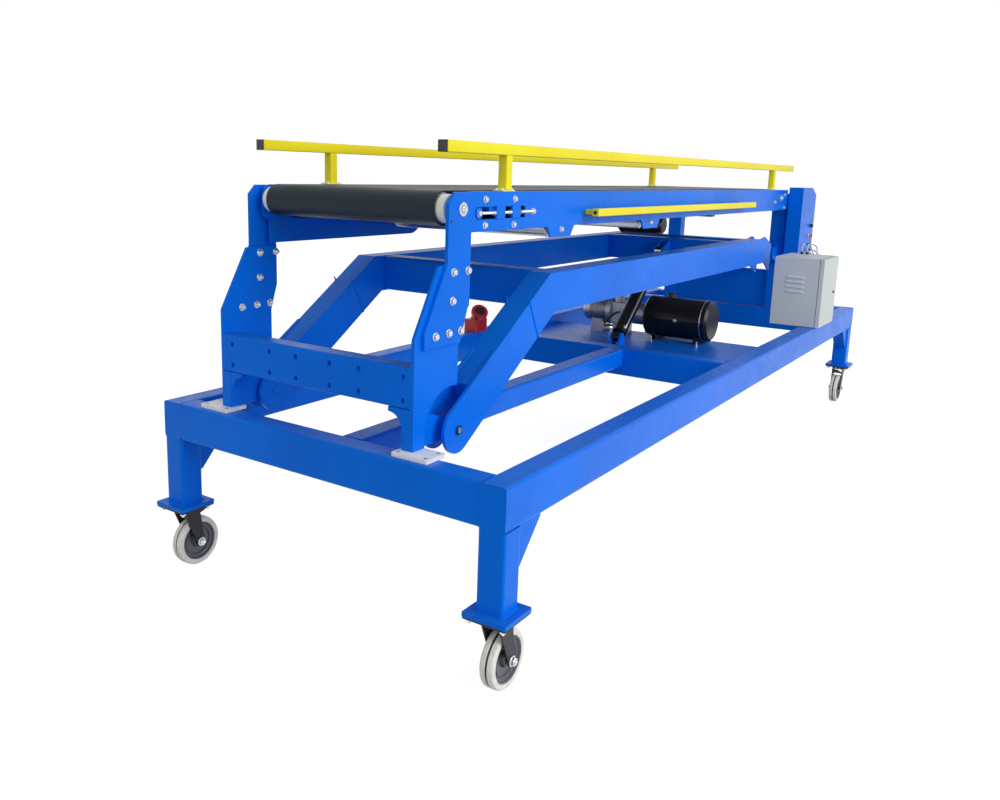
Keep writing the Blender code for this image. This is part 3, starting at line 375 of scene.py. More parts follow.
ZINC = plated("zinc_plate", (0.74, 0.75, 0.77, 1.0), 0.22, 160.0)
CHROME = plated("hard_chrome", (0.80, 0.81, 0.83, 1.0), 0.08, 60.0, 0.05)
TURNED_STEEL = plated("turned_steel", (0.52, 0.53, 0.55, 1.0), 0.26, 90.0)
CAST_ALUMINIUM = plated("cast_aluminium", (0.52, 0.53, 0.54, 1.0), 0.38, 70.0, 0.15, (150.0, 0.0003))
NYLON = matt("milled_nylon", (0.93, 0.93, 0.91, 1.0), (0.72, 0.70, 0.64, 1.0), 0.45, 300.0, 0.00005)
TYRE_RUBBER = matt("white_tyre", (0.88, 0.87, 0.82, 1.0), (0.55, 0.52, 0.46, 1.0), 0.58, 180.0, 0.0002, 30.0)
HUB_PLASTIC = matt("grey_hub", (0.075, 0.085, 0.110, 1.0), (0.120, 0.120, 0.120, 1.0), 0.28, 260.0, 0.0001)
BLACK_PLASTIC = matt("black_plastic", (0.012, 0.012, 0.013, 1.0), (0.050, 0.050, 0.050, 1.0), 0.42, 300.0,
                     0.0001)
HOSE_RUBBER = matt("hose_rubber", (0.012, 0.012, 0.012, 1.0), (0.040, 0.040, 0.040, 1.0), 0.50, 500.0, 0.0001)
RED_PLASTIC = matt("red_plastic", (0.560, 0.012, 0.020, 1.0), (0.300, 0.020, 0.020, 1.0), 0.32, 300.0,
                   0.00008)
CABLE_SHEATH = matt("pale_sheath", (0.62, 0.63, 0.62, 1.0), (0.40, 0.40, 0.38, 1.0), 0.45, 300.0, 0.00005)
BELTING = belting()
print("bare finishes made")

# %% [markdown]
# ## Dressing the solids
#
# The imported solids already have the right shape, so each keeps its mesh and only its material slots
# change. The record says which slot every node belongs to, and one table turns slots into finishes.

# %% Dress the CAD nodes
SLOT_FINISHES = {
    "frame_paint": BLUE_ENAMEL, "rail_paint": YELLOW_ENAMEL, "black_paint": BLACK_PAINT, "nylon": NYLON,
    "tyre": TYRE_RUBBER, "cabinet_grey": CABINET_COAT, "bare_aluminium": CAST_ALUMINIUM,
    "roller_steel": TURNED_STEEL, "chrome": CHROME, "belt_rubber": BELTING, "red_plastic": RED_PLASTIC,
}
for part in frame["record"]["subparts"]:
    node = nodes[part["node"]]
    node.data.materials.clear()
    node.data.materials.append(SLOT_FINISHES[part["material_slot"]])

# %% [markdown]
# ## Surfaces as arrays
#
# Everything added below is a surface worked out with numpy. A shape is three arrays: points, quads and
# triangles. Most shapes are a stack of rings, each ring a closed outline, joined to the next by quads and
# capped at both ends. That one idea covers turned parts, hoses, plates and rounded blocks alike.

# %% Ring surfaces
def ring_quads(rows, columns, hoop=False):
    """Quads between neighbouring rings; with hoop the last ring joins the first again."""
    row = np.arange(rows if hoop else rows - 1)[:, None]
    above = (row + 1) % rows * columns
    here = row * columns
    j = np.arange(columns)
    k = (j + 1) % columns
    return np.stack(np.broadcast_arrays(here + j, here + k, above + k, above + j), -1).reshape(-1, 4)


def volume(points, quads, triangles):
    """Signed volume: a sixth of the sum of a . (b x c) over the faces; negative if they point inwards."""
    faces = np.concatenate([quads[:, [0, 1, 2]], quads[:, [0, 2, 3]], triangles])
    a, b, c = (points[faces[:, i]] for i in range(3))
    return np.einsum("ij,ij->i", a, np.cross(b, c)).sum() / 6


def closed(points, quads, triangles):
    """The shape with its faces turned to point outwards."""
    centred = points - points.mean(axis=0)
    if volume(centred, quads, triangles) < 0:
        return points, quads[:, ::-1], triangles[:, ::-1]
    return points, quads, triangles


def skin(rings):
    """A closed skin over a stack of rings (rows, columns, 3): quads between them, a fan at each end."""
    rings = np.asarray(rings, float)
    rows, columns = rings.shape[:2]
    middles = rings[[0, -1]].mean(axis=1)
    j = np.arange(columns)
    k = (j + 1) % columns
    last = (rows - 1) * columns
    first_fan = np.stack([k, j, np.full(columns, rows * columns)], -1)
    last_fan = np.stack([last + j, last + k, np.full(columns, rows * columns + 1)], -1)
    points = np.concatenate([rings.reshape(-1, 3), middles])
    return closed(points, ring_quads(rows, columns), np.concatenate([first_fan, last_fan]))


def hoop(rings):
    """A skin whose last ring joins the first, as round a tyre or a washer."""
    rings = np.asarray(rings, float)
    rows, columns = rings.shape[:2]
    return closed(rings.reshape(-1, 3), ring_quads(rows, columns, True), np.zeros((0, 3), int))


def lathe_rings(profile, sides, corners=0):
    """Rings at each profile point (height, radius): x = r cos t, y = r sin t. With corners the radius
    is that of a regular polygon, r cos(pi / n) / cos(t mod (2 pi / n) - pi / n), as on a hex head."""
    height, radius = np.asarray(profile, float).T
    t = np.arange(sides) * 2 * np.pi / sides
    factor = np.ones(sides)
    if corners:
        sector = 2 * np.pi / corners
        factor = np.cos(sector / 2) / np.cos(t % sector - sector / 2)
    x = radius[:, None] * factor * np.cos(t)
    y = radius[:, None] * factor * np.sin(t)
    return np.stack([x, y, np.broadcast_to(height[:, None], x.shape)], -1)


def placed(shape, origin, axis, across=None):
    """The shape moved so that its Z runs along axis from origin; across fixes where its X points."""
    z = np.asarray(axis, float) / np.linalg.norm(axis)
    hint = np.array(across if across is not None else ((0, 0, 1) if abs(z[2]) < 0.9 else (1, 0, 0)), float)
    x = hint - hint.dot(z) * z
    x /= np.linalg.norm(x)
    points, quads, triangles = shape
    return points @ np.array([x, np.cross(z, x), z]) + np.asarray(origin, float), quads, triangles


def joined(shapes):
    """Several shapes as one set of arrays."""
    offsets = np.cumsum([0] + [len(shape[0]) for shape in shapes[:-1]])
    return (np.concatenate([shape[0] for shape in shapes]),
            np.concatenate([shape[1] + offset for shape, offset in zip(shapes, offsets)]),
            np.concatenate([shape[2] + offset for shape, offset in zip(shapes, offsets)]))


def make(name, shapes, finish, body, replaces=(), crease=35):
    """One object from a list of shapes, with its finish; it rides on a body, if one is given."""
    points, quads, triangles = joined(shapes)
    mesh = bpy.data.meshes.new(name)
    corner_count = 4 * len(quads) + 3 * len(triangles)
    mesh.vertices.add(len(points))
    mesh.vertices.foreach_set("co", points.astype(np.float32).ravel())
    mesh.loops.add(corner_count)
    corners = np.concatenate([quads.ravel(), triangles.ravel()])
    mesh.loops.foreach_set("vertex_index", corners.astype(np.int32))
    starts = np.concatenate([np.arange(len(quads)) * 4, 4 * len(quads) + np.arange(len(triangles)) * 3])
    mesh.polygons.add(len(starts))
    mesh.polygons.foreach_set("loop_start", starts.astype(np.int32))
    mesh.update(calc_edges=True)
    mesh.validate()
    mesh.shade_smooth()
    mesh.set_sharp_from_angle(angle=math.radians(crease))
    mesh.materials.append(finish)
    piece = bpy.data.objects.new(name, mesh)
    bpy.context.scene.collection.objects.link(piece)
    if body:
        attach(piece, body)
    if replaces:
        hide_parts(*replaces)
    return piece


print("shape helpers ready")

# %% [markdown]
# ## Plates and tubes
#
# Folded and flame-cut sheet is an outline with a thickness, so a plate is two copies of its outline with
# walls between them. Outlines with holes or notches can't be capped by a fan of triangles, so the caps
# come from Blender's own tessellation. Hoses, pipes and weld beads are one circle carried along a path.

# %% Plates, blocks and tubes
def arc(centre, radius, start, stop, steps):
    """Points on an arc round a centre, angles in degrees from the first axis to the second."""
    t = np.radians(np.linspace(start, stop, steps))
    return list(zip(centre[0] + radius * np.cos(t), centre[1] + radius * np.sin(t)))


def turned_area(outline):
    """Twice the signed area of an outline: positive when it runs anticlockwise."""
    a, b = np.asarray(outline), np.roll(outline, -1, axis=0)
    return (a[:, 0] * b[:, 1] - b[:, 0] * a[:, 1]).sum()


def plate(outline, low, high, holes=(), along=0):
    """An outline in the two other axes, with holes, made solid between low and high on axis `along`."""
    loops = [np.asarray(loop, float) for loop in (outline, *holes)]
    loops = [loop if (turned_area(loop) > 0) == (i == 0) else loop[::-1] for i, loop in enumerate(loops)]
    flat = np.concatenate(loops)
    faces = np.array(tessellate_polygon([[Vector((*point, 0.0)) for point in loop] for loop in loops]))
    a, b, c = flat[faces[:, 0]], flat[faces[:, 1]], flat[faces[:, 2]]
    turn = (b[:, 0] - a[:, 0]) * (c[:, 1] - a[:, 1]) - (c[:, 0] - a[:, 0]) * (b[:, 1] - a[:, 1])
    faces[turn < 0] = faces[turn < 0][:, ::-1]
    count = len(flat)
    starts = np.cumsum([0] + [len(loop) for loop in loops[:-1]])
    here = np.arange(count)
    after = [start + (np.arange(len(loop)) + 1) % len(loop) for start, loop in zip(starts, loops)]
    after = np.concatenate(after)
    walls = np.stack([here, after, count + after, count + here], -1)
    others = [axis for axis in range(3) if axis != along]
    points = np.empty((2 * count, 3))
    points[:, along] = np.repeat([low, high], count)
    points[:, others] = np.concatenate([flat, flat])
    return closed(points, walls, np.concatenate([faces[:, ::-1], faces + count]))


def block(low, high, radius=0.003, along=2, steps=4):
    """A bar with rounded long edges and chamfered ends: its outline is a rectangle with arcs of a
    radius at the corners, and the first and last ring lie 0.6 of that radius further in."""
    low, high = np.minimum(low, high), np.maximum(low, high)
    u, v = [axis for axis in range(3) if axis != along]

    def outline(inset):
        corner = radius - inset
        centres = [(high[u] - radius, high[v] - radius, 0), (low[u] + radius, high[v] - radius, 90),
                   (low[u] + radius, low[v] + radius, 180), (high[u] - radius, low[v] + radius, 270)]
        return [point for x, y, start in centres for point in arc((x, y), corner, start, start + 90, steps)]

    rings = []
    for place, inset in ((low[along], 0.6), (low[along] + 0.6 * radius, 0), (high[along] - 0.6 * radius, 0),
                         (high[along], 0.6)):
        ring = np.empty((4 * steps, 3))
        ring[:, along] = place
        ring[:, [u, v]] = outline(inset * radius)
        rings.append(ring)
    return skin(rings)


def tube(path, radius, sides=12):
    """A circle of a radius, or of one radius a point, carried along a path without twisting: each
    frame is the last one turned just enough to stay square to the path."""
    path = np.asarray(path, float)
    way = np.gradient(path, axis=0)
    way /= np.linalg.norm(way, axis=1)[:, None]
    side = np.cross(way[0], (0.0, 0.0, 1.0) if abs(way[0][2]) < 0.9 else (1.0, 0.0, 0.0))
    frames = []
    for direction in way:
        side = side - side.dot(direction) * direction
        side /= np.linalg.norm(side)
        frames.append((side, np.cross(direction, side)))
    frames = np.array(frames)
    t = np.arange(sides) * 2 * np.pi / sides
    spread = np.cos(t)[None, :, None] * frames[:, None, 0] + np.sin(t)[None, :, None] * frames[:, None, 1]
    return skin(path[:, None] + np.broadcast_to(radius, len(path))[:, None, None] * spread)


def bead(start, stop, radius=0.0032, pitch=0.005):
    """A weld bead: a thin tube whose radius swells by 0.15 at every stacked puddle."""
    start, stop = np.array(start), np.array(stop)
    count = max(6, int(np.linalg.norm(stop - start) / pitch * 2))
    t = np.linspace(0, 1, count)
    swell = radius * (1 + 0.15 * (np.arange(count) % 2))
    return tube(start + t[:, None] * (stop - start), swell, 8)


def box_of(node):
    """The low and the high corner of a node's box, as arrays."""
    return tuple(np.array(corner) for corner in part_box(node))


def y_at(distance):
    """Y of a distance from the trolley's front end."""
    return distance + TROLLEY_FRONT


def face_x(side, distance):
    """X of a face at a distance from the conveyor's middle plane, on one side of it."""
    return MIDDLE_X + side * distance


TROLLEY_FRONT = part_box("base_rail_right")[0][1]
MIDDLE_X = (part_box("belt")[0][0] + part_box("belt")[1][0]) / 2
print("trolley from Y", round(TROLLEY_FRONT, 3), "conveyor's middle at X", round(MIDDLE_X, 3))

# %% [markdown]
# ## Cables and hose
#
# Two pale control cables leave glands on the column, sag behind the cabinet and go down into glands on
# its top. A black hose runs from the valve block to the lift cylinder's port. Each is a fixed length of
# something flexible, so its route is a few listed points and a smooth curve through them, with
# straight ends where it leaves its gland.

# %% Cords
CABLE_RADIUS, HOSE_RADIUS = 0.004, 0.007
CABLE_ROUTES = {
    "upper": [(0.5166, 2.240, 1.190), (0.5386, 2.240, 1.190), (0.5716, 2.195, 1.178), (0.600, 2.090, 1.145),
              (0.610, 1.970, 1.135), (0.610, 1.850, 1.160), (0.610, 1.735, 1.1893), (0.610, 1.682, 1.2213),
              (0.610, 1.636, 1.2313), (0.610, 1.614, 1.2153), (0.610, 1.610, 1.2013), (0.610, 1.610, 1.1816)],
    "lower": [(0.5166, 2.250, 1.150), (0.5386, 2.250, 1.150), (0.5716, 2.205, 1.138), (0.635, 2.100, 1.105),
              (0.645, 1.980, 1.095), (0.645, 1.860, 1.120), (0.645, 1.735, 1.1893), (0.645, 1.682, 1.2213),
              (0.645, 1.636, 1.2313), (0.645, 1.614, 1.2153), (0.645, 1.610, 1.2013), (0.645, 1.610, 1.1816)],
}
HOSE_ROUTE = [(-0.215, 0.5297, 0.800), (-0.215, 0.4947, 0.800), (-0.219, 0.4447, 0.790),
              (-0.225, 0.3847, 0.768), (-0.219, 0.3247, 0.750), (-0.1883, 0.2647, 0.7481),
              (-0.1483, 0.2347, 0.7601), (-0.1183, 0.2347, 0.7601)]


def smooth_route(points, step):
    """Points a step apart on the Catmull-Rom curve through a route's inner points; its ends are straight."""
    p = np.array(points)
    route = [p[0]]
    for a, b, c, d in zip(p, p[1:], p[2:], p[3:]):
        count = max(1, round(float(np.linalg.norm(c - b)) / step))
        for t in np.arange(count) / count:
            bend = (2 * a - 5 * b + 4 * c - d) * t**2 + (3 * b - a - 3 * c + d) * t**3
            route.append((2 * b + (c - a) * t + bend) / 2)
    return np.array(route + [p[-2], p[-1]])


def cord(name, points, radius, finish, body="root"):
    """A flexible line along a smooth route."""
    route = smooth_route(points, 2.5 * radius)
    line = make(name, [tube(route, radius, 14)], finish, body)
    return line


for name, route in CABLE_ROUTES.items():
    cord(f"control_cable_{name}", route, CABLE_RADIUS, CABLE_SHEATH)
hose = cord("hydraulic_hose", HOSE_ROUTE, HOSE_RADIUS, HOSE_RUBBER, None)
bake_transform(hose)

# %% [markdown]
# ## Wheels
#
# Each caster wheel is an off-white tyre moulded round a dark grey hub. The tyre has two tread bands with
# a wide groove between them, and a broad side wall; a black band laid in the groove is its painted
# shadow. The hub is a dish with raised rings. All are turned shapes, so each is a profile of radius
# against width, carried once round the axle.

# %% Tyres and hubs
WHEEL_SIDES = 96
GROOVE_HALF, GROOVE_DEPTH = 0.0045, 0.0055
BAND_HALF, BAND_TOP, BAND_FLOOR = 0.9 * GROOVE_HALF, 0.0042, 0.0075      # a black band in the groove: its painted shadow
SEAT_SHARE, HUB_BORE = 0.78, 0.0088          # the hub's share of the wheel's radius, and its bore


def tyre_profile(half, outer, seat):
    """Half the section from the groove to the bead, then its mirror: a crown, a shoulder and a side wall."""
    crown = [(0.0, outer - GROOVE_DEPTH), (GROOVE_HALF * 0.8, outer - GROOVE_DEPTH),
             (GROOVE_HALF, outer - 0.0015), (GROOVE_HALF + 0.0015, outer), (half * 0.55, outer - 0.0004)]
    shoulder = arc((half - 0.007, outer - 0.0085), 0.007, 82, 5, 7)
    wall = [(half, outer - 0.014), (half - 0.0008, outer - 0.022), (half - 0.0022, outer - 0.0225),
            (half - 0.0022, seat + 0.008), (half - 0.004, seat + 0.003), (half - 0.007, seat), (0.0, seat)]
    side = np.array(crown + shoulder + wall)
    return np.concatenate([side, side[1:-1][::-1] * (-1, 1)])


def hub_profile(half, outer, bore):
    """Rim, raised ring, dished web with a second ring, and the boss, mirrored for the far face."""
    rim = [(half - 0.006, outer), (half - 0.001, outer - 0.001), (half - 0.001, outer - 0.005)]
    ring = [(half - 0.007, outer - 0.008), (half - 0.010, outer - 0.016), (half - 0.007, outer - 0.018),
            (half - 0.007, outer - 0.021), (half - 0.013, outer - 0.024), (half - 0.014, 0.030)]
    boss = [(half - 0.004, 0.027), (half + 0.001, 0.025), (half + 0.001, 0.019), (half - 0.001, 0.017),
            (half - 0.001, bore)]
    near = np.array(rim + ring + boss)
    return np.concatenate([near, near[::-1] * (-1, 1)])


for name, end, side in CORNERS:
    node = f"caster_wheel_{name}"
    low, high = box_of(node)
    centre = (low + high) / 2
    radius = (high[2] - low[2]) / 2
    half_width = (high[0] - low[0]) / 2
    seat = radius * SEAT_SHARE
    wheel = f"wheel_{name}"
    tyre = hoop(lathe_rings(tyre_profile(half_width, radius, seat), WHEEL_SIDES))
    # the groove's shadow is painted: a black band laid inside it
    groove_shade_section = [(-BAND_HALF, radius - BAND_FLOOR), (-BAND_HALF, radius - BAND_TOP),
            (BAND_HALF, radius - BAND_TOP), (BAND_HALF, radius - BAND_FLOOR)]
    groove = hoop(lathe_rings(groove_shade_section, WHEEL_SIDES))
    hub = hoop(lathe_rings(hub_profile(half_width - 0.002, seat - 0.0002, HUB_BORE), WHEEL_SIDES))
    make(f"tyre_{name}", [placed(tyre, centre, (1, 0, 0))], TYRE_RUBBER, wheel, [node])
    # the black band is painted shadow in the groove
    make(f"groove_shadow_band_{name}", [placed(groove, centre, (1, 0, 0))], BLACK_PLASTIC, wheel)
    make(f"hub_{name}", [placed(hub, centre, (1, 0, 0))], HUB_PLASTIC, wheel)
print("four wheels of", WHEEL_SIDES, "sides made")

# %% [markdown]
# ## Hex bolts
#
# Bolts are what the eye finds first on a welded machine. One turned profile makes a head: a chamfered
# crown on a hexagon, over a round washer. A list says where each group sits and one vector which way it
# points, so all the like bolts on one body become a single mesh.

# %% Hex heads and washers
def hex_head(size, height=None, washer=0.62, stud=0.0):
    """A hexagon `size` across corners with a 30 degree crown, its washer below, a threaded stud above."""
    height = height or 0.36 * size
    base = 0.11 * size if washer else 0.0
    disc = [(0.0, washer * size), (0.8 * base, washer * size), (base, (washer - 0.03) * size)]
    parts = [skin(lathe_rings(disc, 28))] if washer else []
    r = size / 2
    parts.append(skin(lathe_rings([(base, r), (base + 0.82 * height, r), (base + height, 0.84 * r)], 36, 6)))
    if stud:
        top = base + height
        turns = np.arange(0, stud, 0.0009)
        thread = [(top + z, (0.28 if i % 2 else 0.25) * size) for i, z in enumerate(turns)]
        parts.append(skin(lathe_rings([(top - 0.001, 0.27 * size), *thread, (top + stud, 0.22 * size)], 18)))
    return joined(parts)


def bolts(name, places, axis, body, size=0.022, finish=None, **options):
    """One mesh of like heads at several places, all facing along axis."""
    head = hex_head(size, **options)
    return make(name, [placed(head, place, axis) for place in places], finish or ZINC, body)


print("bolt maker ready")

# %% [markdown]
# ## Caster fittings
#
# Under each blue leg plate sits the caster's own black mounting plate, held by four bolts from below. A
# ball race joins it to the fork, and a nut and a bolt's head close the axle.

# %% Casters
SQUARE = ((-1, -1), (-1, 1), (1, -1), (1, 1))        # a square's corners, side by side
AROUND = ((-1, -1), (1, -1), (1, 1), (-1, 1))        # and one after the other round it
LEG_TOP, LEG_IN = 0.290, 0.050           # top of a leg's foot plate; trolley's end to the leg's middle
MOUNT_HALF, MOUNT_BOLTS = 0.0800, 0.063  # from the swivel to the mounting plate's edge and to its bolts
MOUNT_LOW, MOUNT_HIGH = -0.0002, 0.0078  # that plate's faces, from the lower end of the leg
RACE_Z, AXLE_CHEEK = 0.2560, 0.0372      # under the ball race; wheel's middle to the fork's cheek
RACE = [(0.0, 0.036), (0.0, 0.044), (0.002, 0.0465), (0.006, 0.0465), (0.008, 0.044), (0.008, 0.036)]


def leg_y(end):
    """Y of the middle of the legs and swivels at one end of the trolley."""
    return y_at(LEG_IN) if end == "front" else -y_at(LEG_IN)


for name, end, side in CORNERS:
    wheel_low, wheel_high = box_of(f"caster_wheel_{name}")
    x, axle_y, axle_z = (wheel_low + wheel_high) / 2
    y, bottom = leg_y(end), box_of(f"leg_{name}")[0][2]
    mounting = block((x - MOUNT_HALF, y - MOUNT_HALF, bottom + MOUNT_LOW),
                     (x + MOUNT_HALF, y + MOUNT_HALF, bottom + MOUNT_HIGH), 0.002)
    make(f"caster_mount_{name}", [mounting], BLACK_PAINT, "root")
    corners = [(x + a * MOUNT_BOLTS, y + b * MOUNT_BOLTS, bottom + MOUNT_LOW) for a, b in SQUARE]
    bolts(f"mount_bolts_{name}", corners, (0, 0, -1), "root", 0.022, stud=0.006)
    fork = f"swivel_{name}"
    make(f"ball_race_{name}", [placed(hoop(lathe_rings(RACE, 48)), (x, y, RACE_Z), (0, 0, 1))], ZINC, fork)
    bolts(f"axle_nut_{name}", [(x + AXLE_CHEEK, axle_y, axle_z)], (1, 0, 0), fork, 0.030, stud=0.004)
    bolts(f"axle_head_{name}", [(x - AXLE_CHEEK, axle_y, axle_z)], (-1, 0, 0), fork, 0.030)
print("caster fittings made")

# %% [markdown]
# ## Head portal
#
# The uprights are flame-cut sheets on box feet. A round recess clears the lift arm's lug, and a curved
# gusset stiffens the corner under the cross beam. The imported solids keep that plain, so these plates
# take their place, in the same planes and with the same pin.

# %% Uprights and their bolts
GAP, HAIR = 0.0003, 0.0001               # between touching pieces, and between faces of one piece
FOOT_FRONT, FOOT_DEPTH, FOOT_WIDTH = 0.060, 0.100, 0.060
PIN_PLACE, PIN_RADIUS, PIN_PROUD = (0.275, 0.770), 0.015, 0.006
RECESS_RADIUS, SHEET = 0.153, 0.012
FLARE_RADIUS, FLARE_LIP, FLARE_THICK = 0.060, 0.016, 0.012
HEAD_OUTSIDE, ARM_OUTSIDE, ARM_WIDTH = 0.480, 0.500, 0.100
UNDER_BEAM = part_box("head_beam")[0][2] - GAP
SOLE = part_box("head_upright_right")[0][2]
SHEET_EDGE = [(FOOT_FRONT, 1.114), (0.190, 1.345), (0.345, 1.345), (0.345, 1.190), (0.3125, 1.090)]
HEAD_BOLTS = [(0.2545, 1.321), (0.3400, 1.321), (0.2510, 1.224),
              (0.1570, 1.1135), (0.2335, 1.1155), (0.3040, 1.116)]
# a small hole in the plate, drawn as a black disc: painted shade inside the hole
HOLE_SHADE_PLACE = (0.2365, 1.490)
KEEPER_HALF = 0.015


def upright(side):
    """Sheet with its recess, box foot with the pin's ear, curved gusset and the pin."""
    front, pin = y_at(FOOT_FRONT), (y_at(PIN_PLACE[0]), PIN_PLACE[1])
    back, outer, inner = front + FOOT_DEPTH, HEAD_OUTSIDE - SHEET - GAP, HEAD_OUTSIDE - FOOT_WIDTH
    recess = arc(pin, RECESS_RADIUS, 75, 193, 36)
    sheet = [(front, SOLE)] + [(y_at(y), z) for y, z in SHEET_EDGE]
    sheet += [(sheet[-1][0], recess[0][1])] + recess + [(recess[-1][0] + 0.001, SOLE)]
    ear = arc(pin, pin[1] - SOLE, -90, 90, 24)
    foot = [(front, SOLE)] + ear
    foot += [(back, pin[1] + RECESS_RADIUS / 2), (back, UNDER_BEAM), (front, UNDER_BEAM)]
    base = UNDER_BEAM - FLARE_LIP - FLARE_RADIUS
    flare = [(inner, base), (inner, UNDER_BEAM), (inner - FLARE_RADIUS, UNDER_BEAM)]
    flare += arc((inner - FLARE_RADIUS, base), FLARE_RADIUS, 90, 2, 18)
    flare = [(face_x(side, x), z) for x, z in flare]
    bar = lathe_rings([(ARM_OUTSIDE - ARM_WIDTH - 0.004, PIN_RADIUS), (ARM_OUTSIDE + 0.004, PIN_RADIUS),
                       (ARM_OUTSIDE + PIN_PROUD, PIN_RADIUS - 0.002)], 36)
    return [plate(sheet, face_x(side, outer - SHEET), face_x(side, outer)),
            plate(foot, face_x(side, inner), face_x(side, outer - SHEET - HAIR)),
            plate(flare, front + 0.001, front + 0.001 + FLARE_THICK, along=1),
            placed(skin(bar), (MIDDLE_X, *pin), (side, 0, 0))]


# a black disc over the plate's small hole: painted shade for the hole
hole_shade = skin(lathe_rings([(-0.001, 0.005), (0.0012, 0.005), (0.0016, 0.004)], 20))
keeper = block((-KEEPER_HALF, -KEEPER_HALF, 0.0002), (KEEPER_HALF, KEEPER_HALF, 0.0015), 0.0006)
pin_cap = skin(lathe_rings([(0.0014, 0.010), (0.0030, 0.010), (0.0036, 0.008)], 28))
for name, side in SIDES:
    make(f"upright_{name}", upright(side), BLUE_ENAMEL, "head", [f"head_upright_{name}"])
    outside, inside = face_x(side, HEAD_OUTSIDE), face_x(side, HEAD_OUTSIDE - 2 * SHEET - GAP)
    way = (side, 0, 0)
    bolts(f"head_bolts_{name}", [(outside, y_at(y), z) for y, z in HEAD_BOLTS], way, "head", 0.024)
    nuts = [(inside, y_at(y), z) for y, z in HEAD_BOLTS]
    bolts(f"head_nuts_{name}", nuts, (-side, 0, 0), "head", 0.024, stud=0.006)
    hole_shade_at = (outside, y_at(HOLE_SHADE_PLACE[0]), HOLE_SHADE_PLACE[1])
    make(f"plate_hole_shade_{name}", [placed(hole_shade, hole_shade_at, way)], BLACK_PLASTIC, "head")
    tip = (face_x(side, ARM_OUTSIDE + PIN_PROUD), y_at(PIN_PLACE[0]), PIN_PLACE[1])
    make(f"pin_keeper_{name}", [placed(keeper, tip, way)], BLACK_PAINT, "head")
    make(f"pin_end_{name}", [placed(pin_cap, tip, way)], TURNED_STEEL, "head")
print("uprights and", 4 * len(HEAD_BOLTS), "bolts made")

# %% [markdown]
# ## Conveyor sides
#
# A side plate is a folded channel. At its front a slot holds the belt's take-up: a bearing block on a
# long screw. Under it hang the brackets of the return rollers, which carry the belt's lower run, and on
# the left one deep keel does the same work.

# %% Side plates, take-up and return rollers
SIDE_ENDS, SIDE_TOP, SIDE_BOTTOM = (0.265, 4.465), 1.587, 1.447
SIDE_OUTSIDE, SIDE_SHEET, SIDE_FLANGE, SIDE_CORNER = 0.452, 0.008, 0.045, 0.040
FLANGE_START, FLANGE_SHORT = 0.420, 0.100    # the flanges' front end, and how far short of the rear they stop
SLOT = (0.430, 0.760, 1.490, 1.534)          # front, rear, bottom, top
BLOCK_STARTS, BLOCK_LENGTH = (0.120, 0.230), 0.060       # the take-up's blocks, from the slot's front
SCREW_START, SCREW_LENGTH, SCREW_RADIUS = 0.018, 0.370, 0.006
SCREW_NUTS, COLLAR_PLACE = (0.535, 0.636, 0.722), 0.440
RETURN_PLACES, RETURN_RADIUS, RETURN_Z = (1.055, 1.985), 0.035, 1.4344
BRACKET_HALF, BRACKET_SLANT, BRACKET_BOTTOM = 0.115, 0.030, 1.405
KEEL = (0.300, 1.300, 1.358, 0.089)          # front, rear, bottom, corner radius
END_ROLLERS = (("front", 0.300, HEAD_OUTSIDE, 0.0008), ("rear", 4.300, SIDE_OUTSIDE, GAP))
ROLLER_Z = 1.530                             # each row above: end, place, plate's face, nut's clearance
HALF_BELT = (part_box("belt")[1][0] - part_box("belt")[0][0]) / 2
SLOT_Z = (SLOT[2] + SLOT[3]) / 2
SIDE_BOLTS = [(COLLAR_PLACE, SLOT_Z), (0.819, SLOT_Z), (0.480, 1.560), (0.680, 1.560), (0.480, 1.469),
              (0.676, 1.466), (4.382, 1.551), (4.147, 1.505), (4.388, 1.464)]


def side_plate(side):
    """Web with rounded front corners, brackets below and the slot cut through, and its two flanges."""
    front, rear = y_at(SIDE_ENDS[0]), y_at(SIDE_ENDS[1])
    outline = [(rear, SIDE_BOTTOM), (rear, SIDE_TOP)]
    outline += arc((front + SIDE_CORNER, SIDE_TOP - SIDE_CORNER), SIDE_CORNER, 90, 180, 9)
    outline += arc((front + SIDE_CORNER, SIDE_BOTTOM + SIDE_CORNER), SIDE_CORNER, 180, 270, 9)
    for index, place in enumerate(RETURN_PLACES):
        if side < 0 and index == 0:
            keel_front, keel_rear, bottom, radius = KEEL
            outline += [(y_at(keel_front), SIDE_BOTTOM), (y_at(keel_front), bottom)]
            outline += arc((y_at(keel_rear) - radius, bottom + radius), radius, 270, 360, 12)
        else:
            start, stop = y_at(place - BRACKET_HALF), y_at(place + BRACKET_HALF)
            outline += [(start, SIDE_BOTTOM), (start + BRACKET_SLANT, BRACKET_BOTTOM),
                        (stop - BRACKET_SLANT, BRACKET_BOTTOM), (stop, SIDE_BOTTOM)]
    slot_front, slot_rear, slot_low, slot_high = SLOT
    slot = [(y_at(slot_front), slot_low), (y_at(slot_rear), slot_low), (y_at(slot_rear), slot_high),
            (y_at(slot_front), slot_high)]
    inner = face_x(side, SIDE_OUTSIDE - SIDE_SHEET)
    edge = face_x(side, SIDE_OUTSIDE - SIDE_FLANGE)
    start, stop = y_at(FLANGE_START), rear - FLANGE_SHORT
    return [plate(outline, inner, face_x(side, SIDE_OUTSIDE), (slot,)),
            block((edge, start, SIDE_TOP - SIDE_SHEET), (inner, stop, SIDE_TOP), 0.001, 1),
            block((edge, start, SIDE_BOTTOM), (inner, stop, SIDE_BOTTOM + SIDE_SHEET), 0.001, 1)]


def threaded_rod(start, length, radius, axis):
    """A rod whose radius alternates every millimetre, as a thread seen from a step away."""
    z = np.arange(0, length, 0.001)
    profile = np.stack([z, np.where(np.arange(len(z)) % 2, radius, 0.88 * radius)], -1)
    return placed(skin(lathe_rings(profile, 16)), start, axis)


